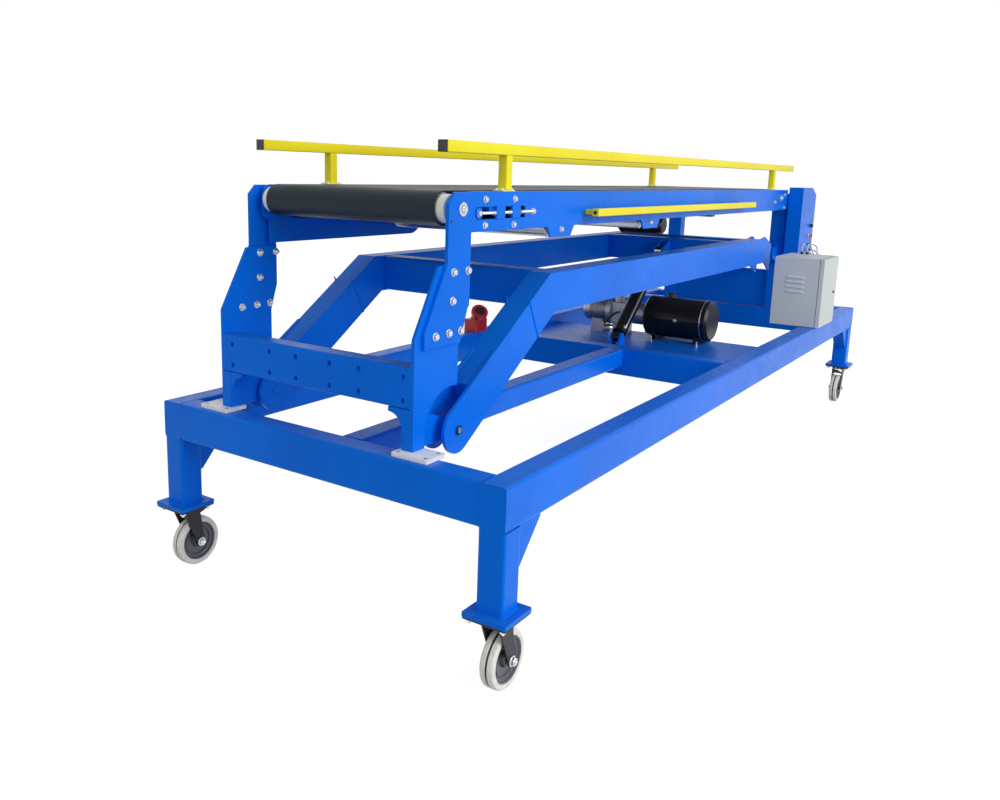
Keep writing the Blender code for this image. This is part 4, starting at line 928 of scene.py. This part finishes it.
def take_up(name, side):
    """The blocks in the slot, the long screw with its three nuts and the collar at the slot's front."""
    slot_front, slot_low, slot_high = y_at(SLOT[0]), SLOT[2] - 0.002, SLOT[3] + 0.002
    deep, proud = face_x(side, SIDE_OUTSIDE - 0.007), face_x(side, SIDE_OUTSIDE + 0.006)
    blocks = [block((deep, slot_front + at, slot_low), (proud, slot_front + at + BLOCK_LENGTH, slot_high),
                    0.003, 0) for at in BLOCK_STARTS]
    make(f"take_up_blocks_{name}", blocks, BLUE_ENAMEL, "conveyor")
    x = face_x(side, SIDE_OUTSIDE - 0.001)
    screw = threaded_rod((x, slot_front + SCREW_START, SLOT_Z), SCREW_LENGTH, SCREW_RADIUS, (0, 1, 0))
    nut = hex_head(0.022, 0.009, 0.0)
    nuts = [placed(nut, (x, y_at(at), SLOT_Z), (0, 1, 0)) for at in SCREW_NUTS]
    make(f"take_up_screw_{name}", [screw, *nuts], ZINC, "conveyor")
    ring = [(0.0, 0.014), (0.0, 0.021), (0.003, 0.021), (0.0045, 0.0195), (0.0045, 0.014)]
    collar_at = (face_x(side, SIDE_OUTSIDE), y_at(COLLAR_PLACE), SLOT_Z)
    collar = placed(hoop(lathe_rings(ring, 36)), collar_at, (side, 0, 0))
    make(f"take_up_collar_{name}", [collar], BLUE_ENAMEL, "conveyor")


for name, side in SIDES:
    outside, way = face_x(side, SIDE_OUTSIDE), (side, 0, 0)
    make(f"channel_{name}", side_plate(side), BLUE_ENAMEL, "conveyor", [f"side_plate_{name}"])
    take_up(name, side)
    bolts(f"side_bolts_{name}", [(outside, y_at(y), z) for y, z in SIDE_BOLTS], way, "conveyor", 0.021)
    shafts = [(outside, y_at(place), RETURN_Z) for place in RETURN_PLACES]
    bolts(f"return_shaft_nuts_{name}", shafts, way, "conveyor", 0.020)
    for end, place, face, clear in END_ROLLERS:
        nut_at = (face_x(side, face + clear), y_at(place), ROLLER_Z)
        bolts(f"shaft_nut_{end}_{name}", [nut_at], way, "conveyor", 0.030, height=0.0085, washer=0.80,
              stud=0.003)
for name, place in zip(("front", "mid"), RETURN_PLACES):
    half, inner_face = HALF_BELT - 0.005, SIDE_OUTSIDE - SIDE_SHEET
    profile = [(-inner_face, 0.008), (-half - 0.002, 0.008), (-half - 0.002, 0.012), (-half, 0.014),
               (-half, RETURN_RADIUS - 0.003), (-half + 0.003, RETURN_RADIUS)]
    profile += [(-z, r) for z, r in reversed(profile)]
    roller = placed(skin(lathe_rings(profile, 48)), (MIDDLE_X, y_at(place), RETURN_Z), (1, 0, 0))
    make(f"return_roller_{name}", [roller], TURNED_STEEL, "conveyor")
print("side plates, take-ups and return rollers made")

# %% [markdown]
# ## Belt rollers
#
# Each end roller is a steel drum inside the belt's bend. Off-white plastic rings stand beside the belt
# and keep it centred. The shaft runs on through the plates to its nuts.

# %% Drums, rings and shafts
DRUM_RADIUS, RING_RADIUS, RING_WIDTH, RING_ROUND = 0.054, 0.049, 0.035, 0.006
SHAFT_RADIUS, SHAFT_PROUD = 0.0125, 0.010
for name, place, face, _ in END_ROLLERS:
    centre, reach = (MIDDLE_X, y_at(place), ROLLER_Z), face + SHAFT_PROUD
    drum = [(-reach, SHAFT_RADIUS - 0.0015), (-reach + 0.0015, SHAFT_RADIUS), (-HALF_BELT, SHAFT_RADIUS),
            (-HALF_BELT + 0.001, 0.040), (-HALF_BELT + 0.002, DRUM_RADIUS)]
    drum += [(-z, r) for z, r in reversed(drum)]
    make(f"drum_{name}", [placed(skin(lathe_rings(drum, 64)), centre, (1, 0, 0))], TURNED_STEEL, "conveyor",
         [f"belt_roller_{name}"])
    start, stop, bore = HALF_BELT + 0.0006, HALF_BELT + RING_WIDTH, SHAFT_RADIUS + 0.0002
    ring = [(start, bore), (start, RING_RADIUS - 0.001), (HALF_BELT + 0.002, RING_RADIUS),
            (stop - RING_ROUND, RING_RADIUS)]
    ring += arc((stop - RING_ROUND, RING_RADIUS - RING_ROUND), RING_ROUND, 80, 5, 6)
    ring += [(stop, 0.030), (stop - 0.003, 0.028), (stop - 0.003, 0.020), (stop, 0.018), (stop, bore)]
    rings = [placed(hoop(lathe_rings(ring, 64)), centre, (way, 0, 0)) for way in (1, -1)]
    make(f"end_rings_{name}", rings, NYLON, "conveyor")
print("two rollers with their rings made")

# %% [markdown]
# ## Guide rails
#
# The yellow rails are square tube, closed by black plastic plugs. Their posts are the same tube, welded
# to paler foot plates that are screwed to the channel's flange. The bump bars stand off on short spacers.
# Square tube isn't sharp: `block` rounds its long edges, which is where the light catches it.

# %% Rails, posts, plugs and bump bars
RAIL_MIDDLE, TUBE_HALF, TUBE_ROUND = 0.432, 0.020, 0.004
POST_PLACES, POST_HALF = (0.640, 4.100), 0.019
SOLE_HALF, SOLE_TOP, SOLE_SCREWS = (0.0222, 0.042), SIDE_TOP + 0.006, (0.012, 0.033)
PLUG_HALF, PLUG_OUT = 0.0015, 0.0017
BUMP_ENDS, BUMP_WIDTH = (1.235, 3.455), 0.032
SPACERS, SPACER_IN, SPACER_HALF = 4, 0.050, 0.020


def post(x, place, rail_under):
    """One post of square tube and the four beads round its foot."""
    y = y_at(place)
    upright_tube = block((x - POST_HALF, y - TUBE_HALF, SOLE_TOP),
                         (x + POST_HALF, y + TUBE_HALF, rail_under + 0.0005), TUBE_ROUND, 2)
    ring = [(x + a * TUBE_HALF, y + b * TUBE_HALF, SOLE_TOP + 0.001) for a, b in AROUND]
    return [upright_tube] + [bead(p, q, 0.0022, 0.004) for p, q in zip(ring, ring[1:] + ring[:1])]


def sole(x, place):
    """The plate under a post."""
    dx, dy = SOLE_HALF
    return block((x - dx, y_at(place) - dy, SIDE_TOP + GAP), (x + dx, y_at(place) + dy, SOLE_TOP), 0.0015, 2)


def bump_bar(side, low, high, inner_x, outer_x):
    """A square bar along the side plate, and the spacers that hold it off."""
    start, stop = y_at(BUMP_ENDS[0]), y_at(BUMP_ENDS[1])
    shapes = [block((inner_x, start, low[2]), (outer_x, stop, high[2]), 0.003, 1)]
    for y in np.linspace(start + SPACER_IN, stop - SPACER_IN, SPACERS):
        shapes.append(block((face_x(side, SIDE_OUTSIDE + GAP), y - SPACER_HALF, low[2] + 0.005),
                            (inner_x + side * 0.001, y + SPACER_HALF, high[2] - 0.005), 0.002, 1))
    return shapes


# black discs for the bump bars' end holes: painted shade inside the holes
bar_end_hole_shade = skin(lathe_rings([(0.0, 0.008), (0.0008, 0.008), (0.0010, 0.006)], 24))
for name, side in SIDES:
    low, high = box_of(f"guide_rail_{name}")
    x, top, under = face_x(side, RAIL_MIDDLE), high[2], high[2] - 2 * TUBE_HALF
    tubes = [block((x - TUBE_HALF, low[1], under), (x + TUBE_HALF, high[1], top), TUBE_ROUND, 1)]
    for place in POST_PLACES:
        tubes += post(x, place, under)
    make(f"rail_{name}", tubes, YELLOW_ENAMEL, "conveyor", [f"guide_rail_{name}"])
    sole_x = face_x(side, SIDE_OUTSIDE - SIDE_FLANGE / 2)
    make(f"post_soles_{name}", [sole(sole_x, place) for place in POST_PLACES], PALE_YELLOW, "conveyor")
    screws = [(sole_x + a * SOLE_SCREWS[0], y_at(place) + b * SOLE_SCREWS[1], SOLE_TOP)
              for place in POST_PLACES for a, b in SQUARE]
    bolts(f"post_screws_{name}", screws, (0, 0, 1), "conveyor", 0.010)
    plugs_and_hole_shades = [block((x - TUBE_HALF, y - PLUG_HALF, under), (x + TUBE_HALF, y + PLUG_HALF, top), 0.002, 1)
             for y in (low[1] - PLUG_OUT, high[1] + PLUG_OUT)]
    bump_low, bump_high = box_of(f"bump_bar_{name}")
    outer_x = bump_high[0] if side > 0 else bump_low[0]
    inner_x = outer_x - side * BUMP_WIDTH
    bar = bump_bar(side, bump_low, bump_high, inner_x, outer_x)
    make(f"bump_{name}", bar, YELLOW_ENAMEL, "conveyor", [f"bump_bar_{name}"])
    # the bump bars' end holes get black discs of painted shade, kept with the rails' real plugs
    for place, way in zip(BUMP_ENDS, (-1, 1)):
        hole_at = ((inner_x + outer_x) / 2, y_at(place), (bump_low[2] + bump_high[2]) / 2)
        plugs_and_hole_shades.append(placed(bar_end_hole_shade, hole_at, (0, way, 0)))
    make(f"rail_plugs_and_hole_shades_{name}", plugs_and_hole_shades, BLACK_PLASTIC, "conveyor")
print("rails, posts, plugs and bump bars made")

# %% [markdown]
# ## Control column and cabinet
#
# The column is a folded cover with a slanted top. Its face carries a knob, two red buttons and the cable
# glands. The cabinet has pressed louvres, and its door stands on a black gasket and has a lock. A louvre
# is a slit with a hood over it, so each hood is a D-shaped section whose depth follows a superellipse.

# %% Column, buttons and glands
COLUMN_FACE, COLUMN_FRONT, COLUMN_DEPTH, COLUMN_WIDTH = 0.5003, 1.950, 0.380, 0.098
COLUMN_BOTTOM, COLUMN_TOP, COLUMN_SLANT, SLANT_DROP = 1.100, 1.605, 0.120, 0.050
COLUMN_SEAT = ((0.3803, 2.000, 1.140), (COLUMN_FACE - COLUMN_WIDTH + HAIR, 2.080, 1.525))
KNOB_PLACE = (0.290, 1.330)                  # from the column's front, and Z
BUTTON_PLACES = ((0.255, 1.255), (0.305, 1.255))
GLAND = [(0.0, 0.011), (0.006, 0.011), (0.0065, 0.009), (0.016, 0.0075)]
column_back = COLUMN_FRONT + COLUMN_DEPTH
column = [(COLUMN_FRONT, COLUMN_BOTTOM), (column_back, COLUMN_BOTTOM), (column_back, COLUMN_TOP - SLANT_DROP),
          (column_back - COLUMN_SLANT, COLUMN_TOP), (COLUMN_FRONT, COLUMN_TOP)]
make("column_cover", [plate(column, COLUMN_FACE - COLUMN_WIDTH, COLUMN_FACE), block(*COLUMN_SEAT, 0.002)],
     BLUE_ENAMEL, "root", ["control_column"])


def on_column(place, profile, sides=32, corners=0):
    """A turned shape standing on the column's face, at a distance from its front and a height."""
    origin = (COLUMN_FACE, COLUMN_FRONT + place[0], place[1])
    return placed(skin(lathe_rings(profile, sides, corners)), origin, (1, 0, 0))


knob = [(0, 0.016), (0.003, 0.016), (0.004, 0.012), (0.018, 0.011), (0.021, 0.008)]
bezel = [(0, 0.017), (0.004, 0.017), (0.006, 0.015)]
button = [(0.002, 0.0125), (0.013, 0.0125), (0.016, 0.011), (0.018, 0.006)]
make("knob", [on_column(KNOB_PLACE, knob)], BLACK_PLASTIC, "root")
make("button_bezels", [on_column(place, bezel) for place in BUTTON_PLACES], ZINC, "root")
make("red_buttons", [on_column(place, button) for place in BUTTON_PLACES], RED_PLASTIC, "root")
cabinet_low, cabinet_high = box_of("cabinet_body")
glands = []
for route in CABLE_ROUTES.values():
    leaves, enters = route[0], route[-1]
    glands.append(on_column((leaves[1] - COLUMN_FRONT, leaves[2]), GLAND, 36, 6))
    glands.append(placed(skin(lathe_rings(GLAND, 36, 6)), (enters[0], enters[1], cabinet_high[2]), (0, 0, 1)))
make("cable_glands", glands, BLACK_PLASTIC, "root")

# %% Louvres, door and lock
HOOD_ENDS, HOOD_ROWS, HOOD_FIRST, HOOD_STEP, HOOD_RISE = (0.076, 0.194), 4, 0.50, 0.07, 0.004
HOOD_SECTION = [(0.0008, 0.5), (-0.35, 0.42), (-0.8, 0.15), (-1.0, -0.25), (-1.0, -0.5), (-0.85, -0.5),
                (0.0008, -0.45)]
DOOR_PROUD, DOOR_SHEET, DOOR_RIM = 0.008, 0.002, 0.012
GASKET_IN, GASKET_WIDTH, GASKET_THICK = 0.004, 0.006, 0.003
LOCK_PLACE = (1.600, 0.930)


def hood(x0, x1, face_y, z, height=0.013, depth=0.0065):
    """A louvre's hood: along its length s from -1 to 1 the depth is depth * (1 - s^6)^(1/2)."""
    s = np.linspace(-0.995, 0.995, 25)
    reach = depth * np.sqrt(1 - s**6)
    section = np.array(HOOD_SECTION)
    rings = np.empty((len(s), len(section), 3))
    rings[..., 0] = ((x0 + x1) / 2 + s * (x1 - x0) / 2)[:, None]
    rings[..., 1] = face_y + np.where(section[:, 0] > 0, section[:, 0], reach[:, None] * section[:, 0])
    rings[..., 2] = z + height * section[:, 1]
    return skin(rings)


def frame_plate(low, high, inset, width, start, stop):
    """A flat frame in Y and Z, inset from a box's edges, as wide as given, from start to stop in X."""
    outline, hole = ([(low[1] + i, low[2] + i), (high[1] - i, low[2] + i), (high[1] - i, high[2] - i),
                      (low[1] + i, high[2] - i)] for i in (inset, inset + width))
    return plate(outline, start, stop, (hole,))


cabinet_height = cabinet_high[2] - cabinet_low[2]
hoods = [hood(cabinet_low[0] + HOOD_ENDS[0], cabinet_low[0] + HOOD_ENDS[1], cabinet_low[1],
              cabinet_low[2] + cabinet_height * (HOOD_FIRST + HOOD_STEP * row) + HOOD_RISE)
         for row in range(HOOD_ROWS)]
make("louvre_hoods", hoods, CABINET_COAT, "root")
door_low, door_high = box_of("cabinet_door")
door_face, seat = door_high[0] + DOOR_PROUD, door_low[0]
rim = frame_plate(door_low, door_high, 0.0, DOOR_RIM, seat + GASKET_THICK, door_face - DOOR_SHEET)
leaf = block((door_face - DOOR_SHEET - 0.0002, *door_low[1:]), (door_face, *door_high[1:]), 0.0012, 0)
make("door_leaf", [rim, leaf], CABINET_COAT, "door", ["cabinet_door"])
gasket = frame_plate(door_low, door_high, GASKET_IN, GASKET_WIDTH, seat + 0.0002, seat + GASKET_THICK)
make("door_gasket", [gasket], BLACK_PLASTIC, "door")
lock_at = (door_face, *LOCK_PLACE)
lock_plate = placed(block((-0.008, -0.020, 0.0), (0.008, 0.020, 0.003), 0.0015), lock_at, (1, 0, 0))
lock_core = skin(lathe_rings([(0.002, 0.006), (0.006, 0.006), (0.0065, 0.005)], 24))
lock_core = placed(lock_core, lock_at, (1, 0, 0))
make("door_lock", [lock_plate, lock_core], BLACK_PLASTIC, "door")
print("column, buttons, glands, hoods, door and lock made")

# %% [markdown]
# ## Power unit and cylinder
#
# The pump motor has cooling rings, the tank a seam of bright zinc, whose brightness is partly a painted
# highlight along its rolled edge, a filler cap and a drain plug. Fittings join the hose to the valve block
# and to the cylinder. A thin bright pipe runs up the cylinder to its gland.

# %% Motor, tank and valve block
UNIT_Y, UNIT_Z = 0.590, 0.795
FIN_FOOT, FIN_TIP, FIN_BORE, FIN_STEP = 0.0772, 0.0835, 0.070, 0.009
MOTOR_CAP, MOTOR_COLLAR = 0.048, 0.004       # left bare at the motor's two ends
# a thin zinc ring at the tank's seam: the seam is real, and its bright zinc is a painted highlight
SEAM_HIGHLIGHT = [(0.328, 0.1242), (0.329, 0.1262), (0.334, 0.1262), (0.335, 0.1242)]
CAP_X, CAP_RISE, PLUG_X, PLUG_OUT_Y = 0.105, 0.125, 0.180, 0.1245
CAP = [(-0.004, 0.024), (0.006, 0.024), (0.008, 0.021), (0.008, 0.027), (0.022, 0.027), (0.026, 0.022)]
TRAY_STUDS = [(x, y, 0.6560) for x in (0.045, 0.335) for y in (0.440, 0.680)]
VALVE_PORTS = [(-0.215, 0.5305, 0.800), (-0.110, 0.5305, 0.800)]
VALVE_CAPS = [(-0.240, UNIT_Y + dy, 0.9195) for dy in (-0.030, 0.030)]
motor_low, motor_high = box_of("pump_motor")
fins_start, fins_stop = motor_low[0] + MOTOR_CAP, motor_high[0] - MOTOR_COLLAR
fins = [(fins_start, FIN_FOOT)]
for x in np.arange(fins_start + 0.004, fins_stop - 0.008, FIN_STEP):
    fins += [(x, FIN_FOOT), (x + 0.0005, FIN_TIP), (x + 0.0035, FIN_TIP), (x + 0.0040, FIN_FOOT)]
fins += [(fins_stop, FIN_FOOT), (fins_stop, FIN_BORE), (fins_start, FIN_BORE)]
motor_fins = placed(hoop(lathe_rings(fins, 64)), (0, UNIT_Y, UNIT_Z), (1, 0, 0))
make("motor_fins", [motor_fins], CAST_ALUMINIUM, "root")
# the seam's bright zinc stands for the highlight along it: painted highlight
make("tank_seam_highlight", [placed(hoop(lathe_rings(SEAM_HIGHLIGHT, 96)), (0, UNIT_Y, UNIT_Z), (1, 0, 0))], ZINC, "root")
cap = placed(skin(lathe_rings(CAP, 40)), (CAP_X, UNIT_Y, UNIT_Z + CAP_RISE), (0, 0, 1))
make("filler_cap", [cap], BLACK_PLASTIC, "root")
bolts("tank_plugs", [(PLUG_X, UNIT_Y - PLUG_OUT_Y, UNIT_Z)], (0, -1, 0), "root", 0.018)
bolts("tray_studs", TRAY_STUDS, (0, 0, 1), "root", 0.020, stud=0.022)
bolts("valve_fittings", VALVE_PORTS, (0, -1, 0), "root", 0.026, height=0.010)
bolts("valve_caps", VALVE_CAPS, (0, 0, 1), "root", 0.030, stud=0.010)
print("motor, tank and valve block dressed")

# %% Lift cylinder
BARREL_RADIUS, PIPE_RADIUS, PIPE_CLEAR = 0.042, 0.006, 0.004
PIPE_ENDS, PIPE_BEND, PIPE_TURN, PORT_PLACE = (0.060, 0.440), 0.014, 0.012, 0.085
PORT_BOSS = [(0.034, 0.013), (0.050, 0.013), (0.051, 0.011), (0.058, 0.011)]
BANJO = [(0.036, 0.012), (0.048, 0.012), (0.049, 0.010)]
GLAND_NUT = [(0.452, 0.0425), (0.452, 0.0475), (0.456, 0.0490), (0.478, 0.0490), (0.482, 0.0475),
             (0.482, 0.0425)]
foot = np.array(joints["cylinder_hinge"]["pos_m"])
along = np.array(joints["rod_slide"]["axis"])
outwards = np.array([0.80, -0.60 * along[2], 0.60 * along[1]])   # square to the barrel, to the right
turn = PIPE_TURN * outwards
pipe_low, pipe_high = (foot + place * along for place in PIPE_ENDS)
beside = (BARREL_RADIUS + PIPE_RADIUS + PIPE_CLEAR) * outwards
low, high = pipe_low + beside, pipe_high + beside
pipe_route = [low - 2 * turn, low - turn + 0.002 * along, low + PIPE_BEND * along, (low + high) / 2,
              high - PIPE_BEND * along, high - turn - 0.002 * along, high - 2 * turn]
make("oil_pipe", [tube(smooth_route(pipe_route, 0.006), PIPE_RADIUS, 16)], ZINC, "cylinder_barrel")
port = placed(skin(lathe_rings(PORT_BOSS, 36, 6)), foot + PORT_PLACE * along, (-1, 0, 0))
make("cylinder_port", [port], ZINC, "cylinder_barrel")
banjos = [placed(skin(lathe_rings(BANJO, 36, 6)), place, outwards)
          for place in (pipe_low + 0.004 * along, pipe_high - 0.004 * along)]
make("pipe_banjos", banjos, ZINC, "cylinder_barrel")
gland_nut = placed(hoop(lathe_rings(GLAND_NUT, 64)), foot, along)
make("gland_nut", [gland_nut], TURNED_STEEL, "cylinder_barrel")
print("lift cylinder dressed")

# %% [markdown]
# ## Drive motor, inlet, posts and pads
#
# The drive motor under the belt has cooling rings. The supply inlet shows dark pins inside its collar. A
# deep cross member ties the rear posts together, and each white pad is held down by four sunk screws.

# %% Smaller pieces
DRIVE_X, DRIVE_PLACE, DRIVE_Z, DRIVE_HALF = -0.040, 2.900, 1.375, 0.128
DRIVE_SHELL, DRIVE_FOOT, DRIVE_TIP, DRIVE_BORE, DRIVE_STEP = 0.0545, 0.0552, 0.0610, 0.050, 0.011
INLET_PLACE, INLET_RISE, INLET_TILT = 2.200, 0.0547, (0.55, -0.45, 0.70)
INLET_INSERT = [(0.068, 0.0300), (0.100, 0.0300), (0.102, 0.028)]
INLET_RING = [(0.082, 0.0455), (0.082, 0.0485), (0.088, 0.0500), (0.102, 0.0500), (0.108, 0.0485),
              (0.108, 0.0455)]
PIN, PIN_COUNT, PIN_CIRCLE = [(0.100, 0.0035), (0.116, 0.0035), (0.118, 0.002)], 5, 0.018
POST_INSIDE, TIE_DEPTH, TIE_HEIGHT = 0.340, (2.010, 2.070), (0.724, 1.000)
PAD_SCREW_IN = 0.018
PAD_SCREW = [(0.0, 0.0065), (0.0009, 0.0065), (0.0010, 0.0045), (0.0004, 0.0030)]

rings = [(-DRIVE_HALF, DRIVE_SHELL)]
for x in np.arange(0.004 - DRIVE_HALF, DRIVE_HALF - 0.010, DRIVE_STEP):
    rings += [(x, DRIVE_FOOT), (x + 0.001, DRIVE_TIP), (x + 0.004, DRIVE_TIP), (x + 0.005, DRIVE_FOOT)]
rings += [(DRIVE_HALF, DRIVE_SHELL), (DRIVE_HALF, DRIVE_BORE), (-DRIVE_HALF, DRIVE_BORE)]
drive_rings = placed(hoop(lathe_rings(rings, 56)), (DRIVE_X, y_at(DRIVE_PLACE), DRIVE_Z), (1, 0, 0))
make("drive_rings", [drive_rings], BLACK_PAINT, "conveyor")

rail_low, rail_high = box_of("base_rail_left")
inlet_way = np.array(INLET_TILT) / np.linalg.norm(INLET_TILT)
inlet_z = box_of("power_inlet")[0][2] + INLET_RISE
inlet_at = np.array([(rail_low[0] + rail_high[0]) / 2, y_at(INLET_PLACE), inlet_z])
t = np.arange(PIN_COUNT) * 2 * np.pi / PIN_COUNT
circle = PIN_CIRCLE * np.stack([0.63 * np.cos(t), 0.77 * np.cos(t), 0.70 * np.sin(t)], -1)
pins = [placed(skin(lathe_rings(PIN, 12)), inlet_at + offset, inlet_way) for offset in circle]
insert = placed(skin(lathe_rings(INLET_INSERT, 40)), inlet_at, inlet_way)
make("inlet_insert", [insert, *pins], BLACK_PLASTIC, "root")
inlet_ring = placed(hoop(lathe_rings(INLET_RING, 60)), inlet_at, inlet_way)
make("inlet_ring", [inlet_ring], RED_PLASTIC, "root")

tie_low, tie_high = (np.array([face_x(way, POST_INSIDE - GAP), TIE_DEPTH[i], TIE_HEIGHT[i]])
                     for i, way in enumerate((-1, 1)))
make("post_tie", [block(tie_low, tie_high, 0.006, 0)], BLUE_ENAMEL, "root")
for name, side in SIDES:
    low, high = box_of(f"stop_pad_{name}")
    heads = [(x, y, high[2] - 0.0006) for x in (low[0] + PAD_SCREW_IN, high[0] - PAD_SCREW_IN)
             for y in (low[1] + PAD_SCREW_IN, high[1] - PAD_SCREW_IN)]
    screws = [placed(skin(lathe_rings(PAD_SCREW, 20)), place, (0, 0, 1)) for place in heads]
    make(f"pad_screws_{name}", screws, BLACK_PLASTIC, "root")
print("drive rings, inlet, tie and pad screws made")

# %% [markdown]
# ## Weld beads
#
# A weld is a row of overlapping puddles, so a bead is a thin tube that swells at each of them. Beads run
# where two members meet: across the arms' joints, round the legs' feet and down the portal's corners.

# %% Beads
BEAD_OUT, BEAD_INSET = 0.0006, 0.004
ARM_SEAM = ((0.735, 1.183), (0.817, 1.025))      # upper and lower end of the joint at the arm's knee
LEG_HALF = 0.0505
BEAM_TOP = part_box("head_beam")[1][2]
for name, side in SIDES:
    faces = (face_x(side, ARM_OUTSIDE + BEAD_OUT), face_x(side, ARM_OUTSIDE - ARM_WIDTH - BEAD_OUT))
    (upper_y, upper_z), (lower_y, lower_z) = ARM_SEAM
    seams = [bead((x, y_at(upper_y), upper_z), (x, y_at(lower_y), lower_z)) for x in faces]
    make(f"arm_beads_{name}", seams, BLUE_ENAMEL, "lift")
    corner = face_x(side, HEAD_OUTSIDE - FOOT_WIDTH - BEAD_INSET)
    front = y_at(FOOT_FRONT) + 0.002
    seam = bead((corner, front, UNDER_BEAM + BEAD_INSET), (corner, front, BEAM_TOP - 0.006))
    make(f"portal_beads_{name}", [seam], BLUE_ENAMEL, "head")
for name, end, side in CORNERS:
    rail_low, rail_high = box_of(f"base_rail_{side}")
    x, y, z = (rail_low[0] + rail_high[0]) / 2, leg_y(end), LEG_TOP + 0.001
    square = [(x + a * LEG_HALF, y + b * LEG_HALF, z) for a, b in AROUND]
    seams = [bead(p, q) for p, q in zip(square, square[1:] + square[:1])]
    make(f"leg_beads_{name}", seams, BLUE_ENAMEL, "root")
print("beads laid")
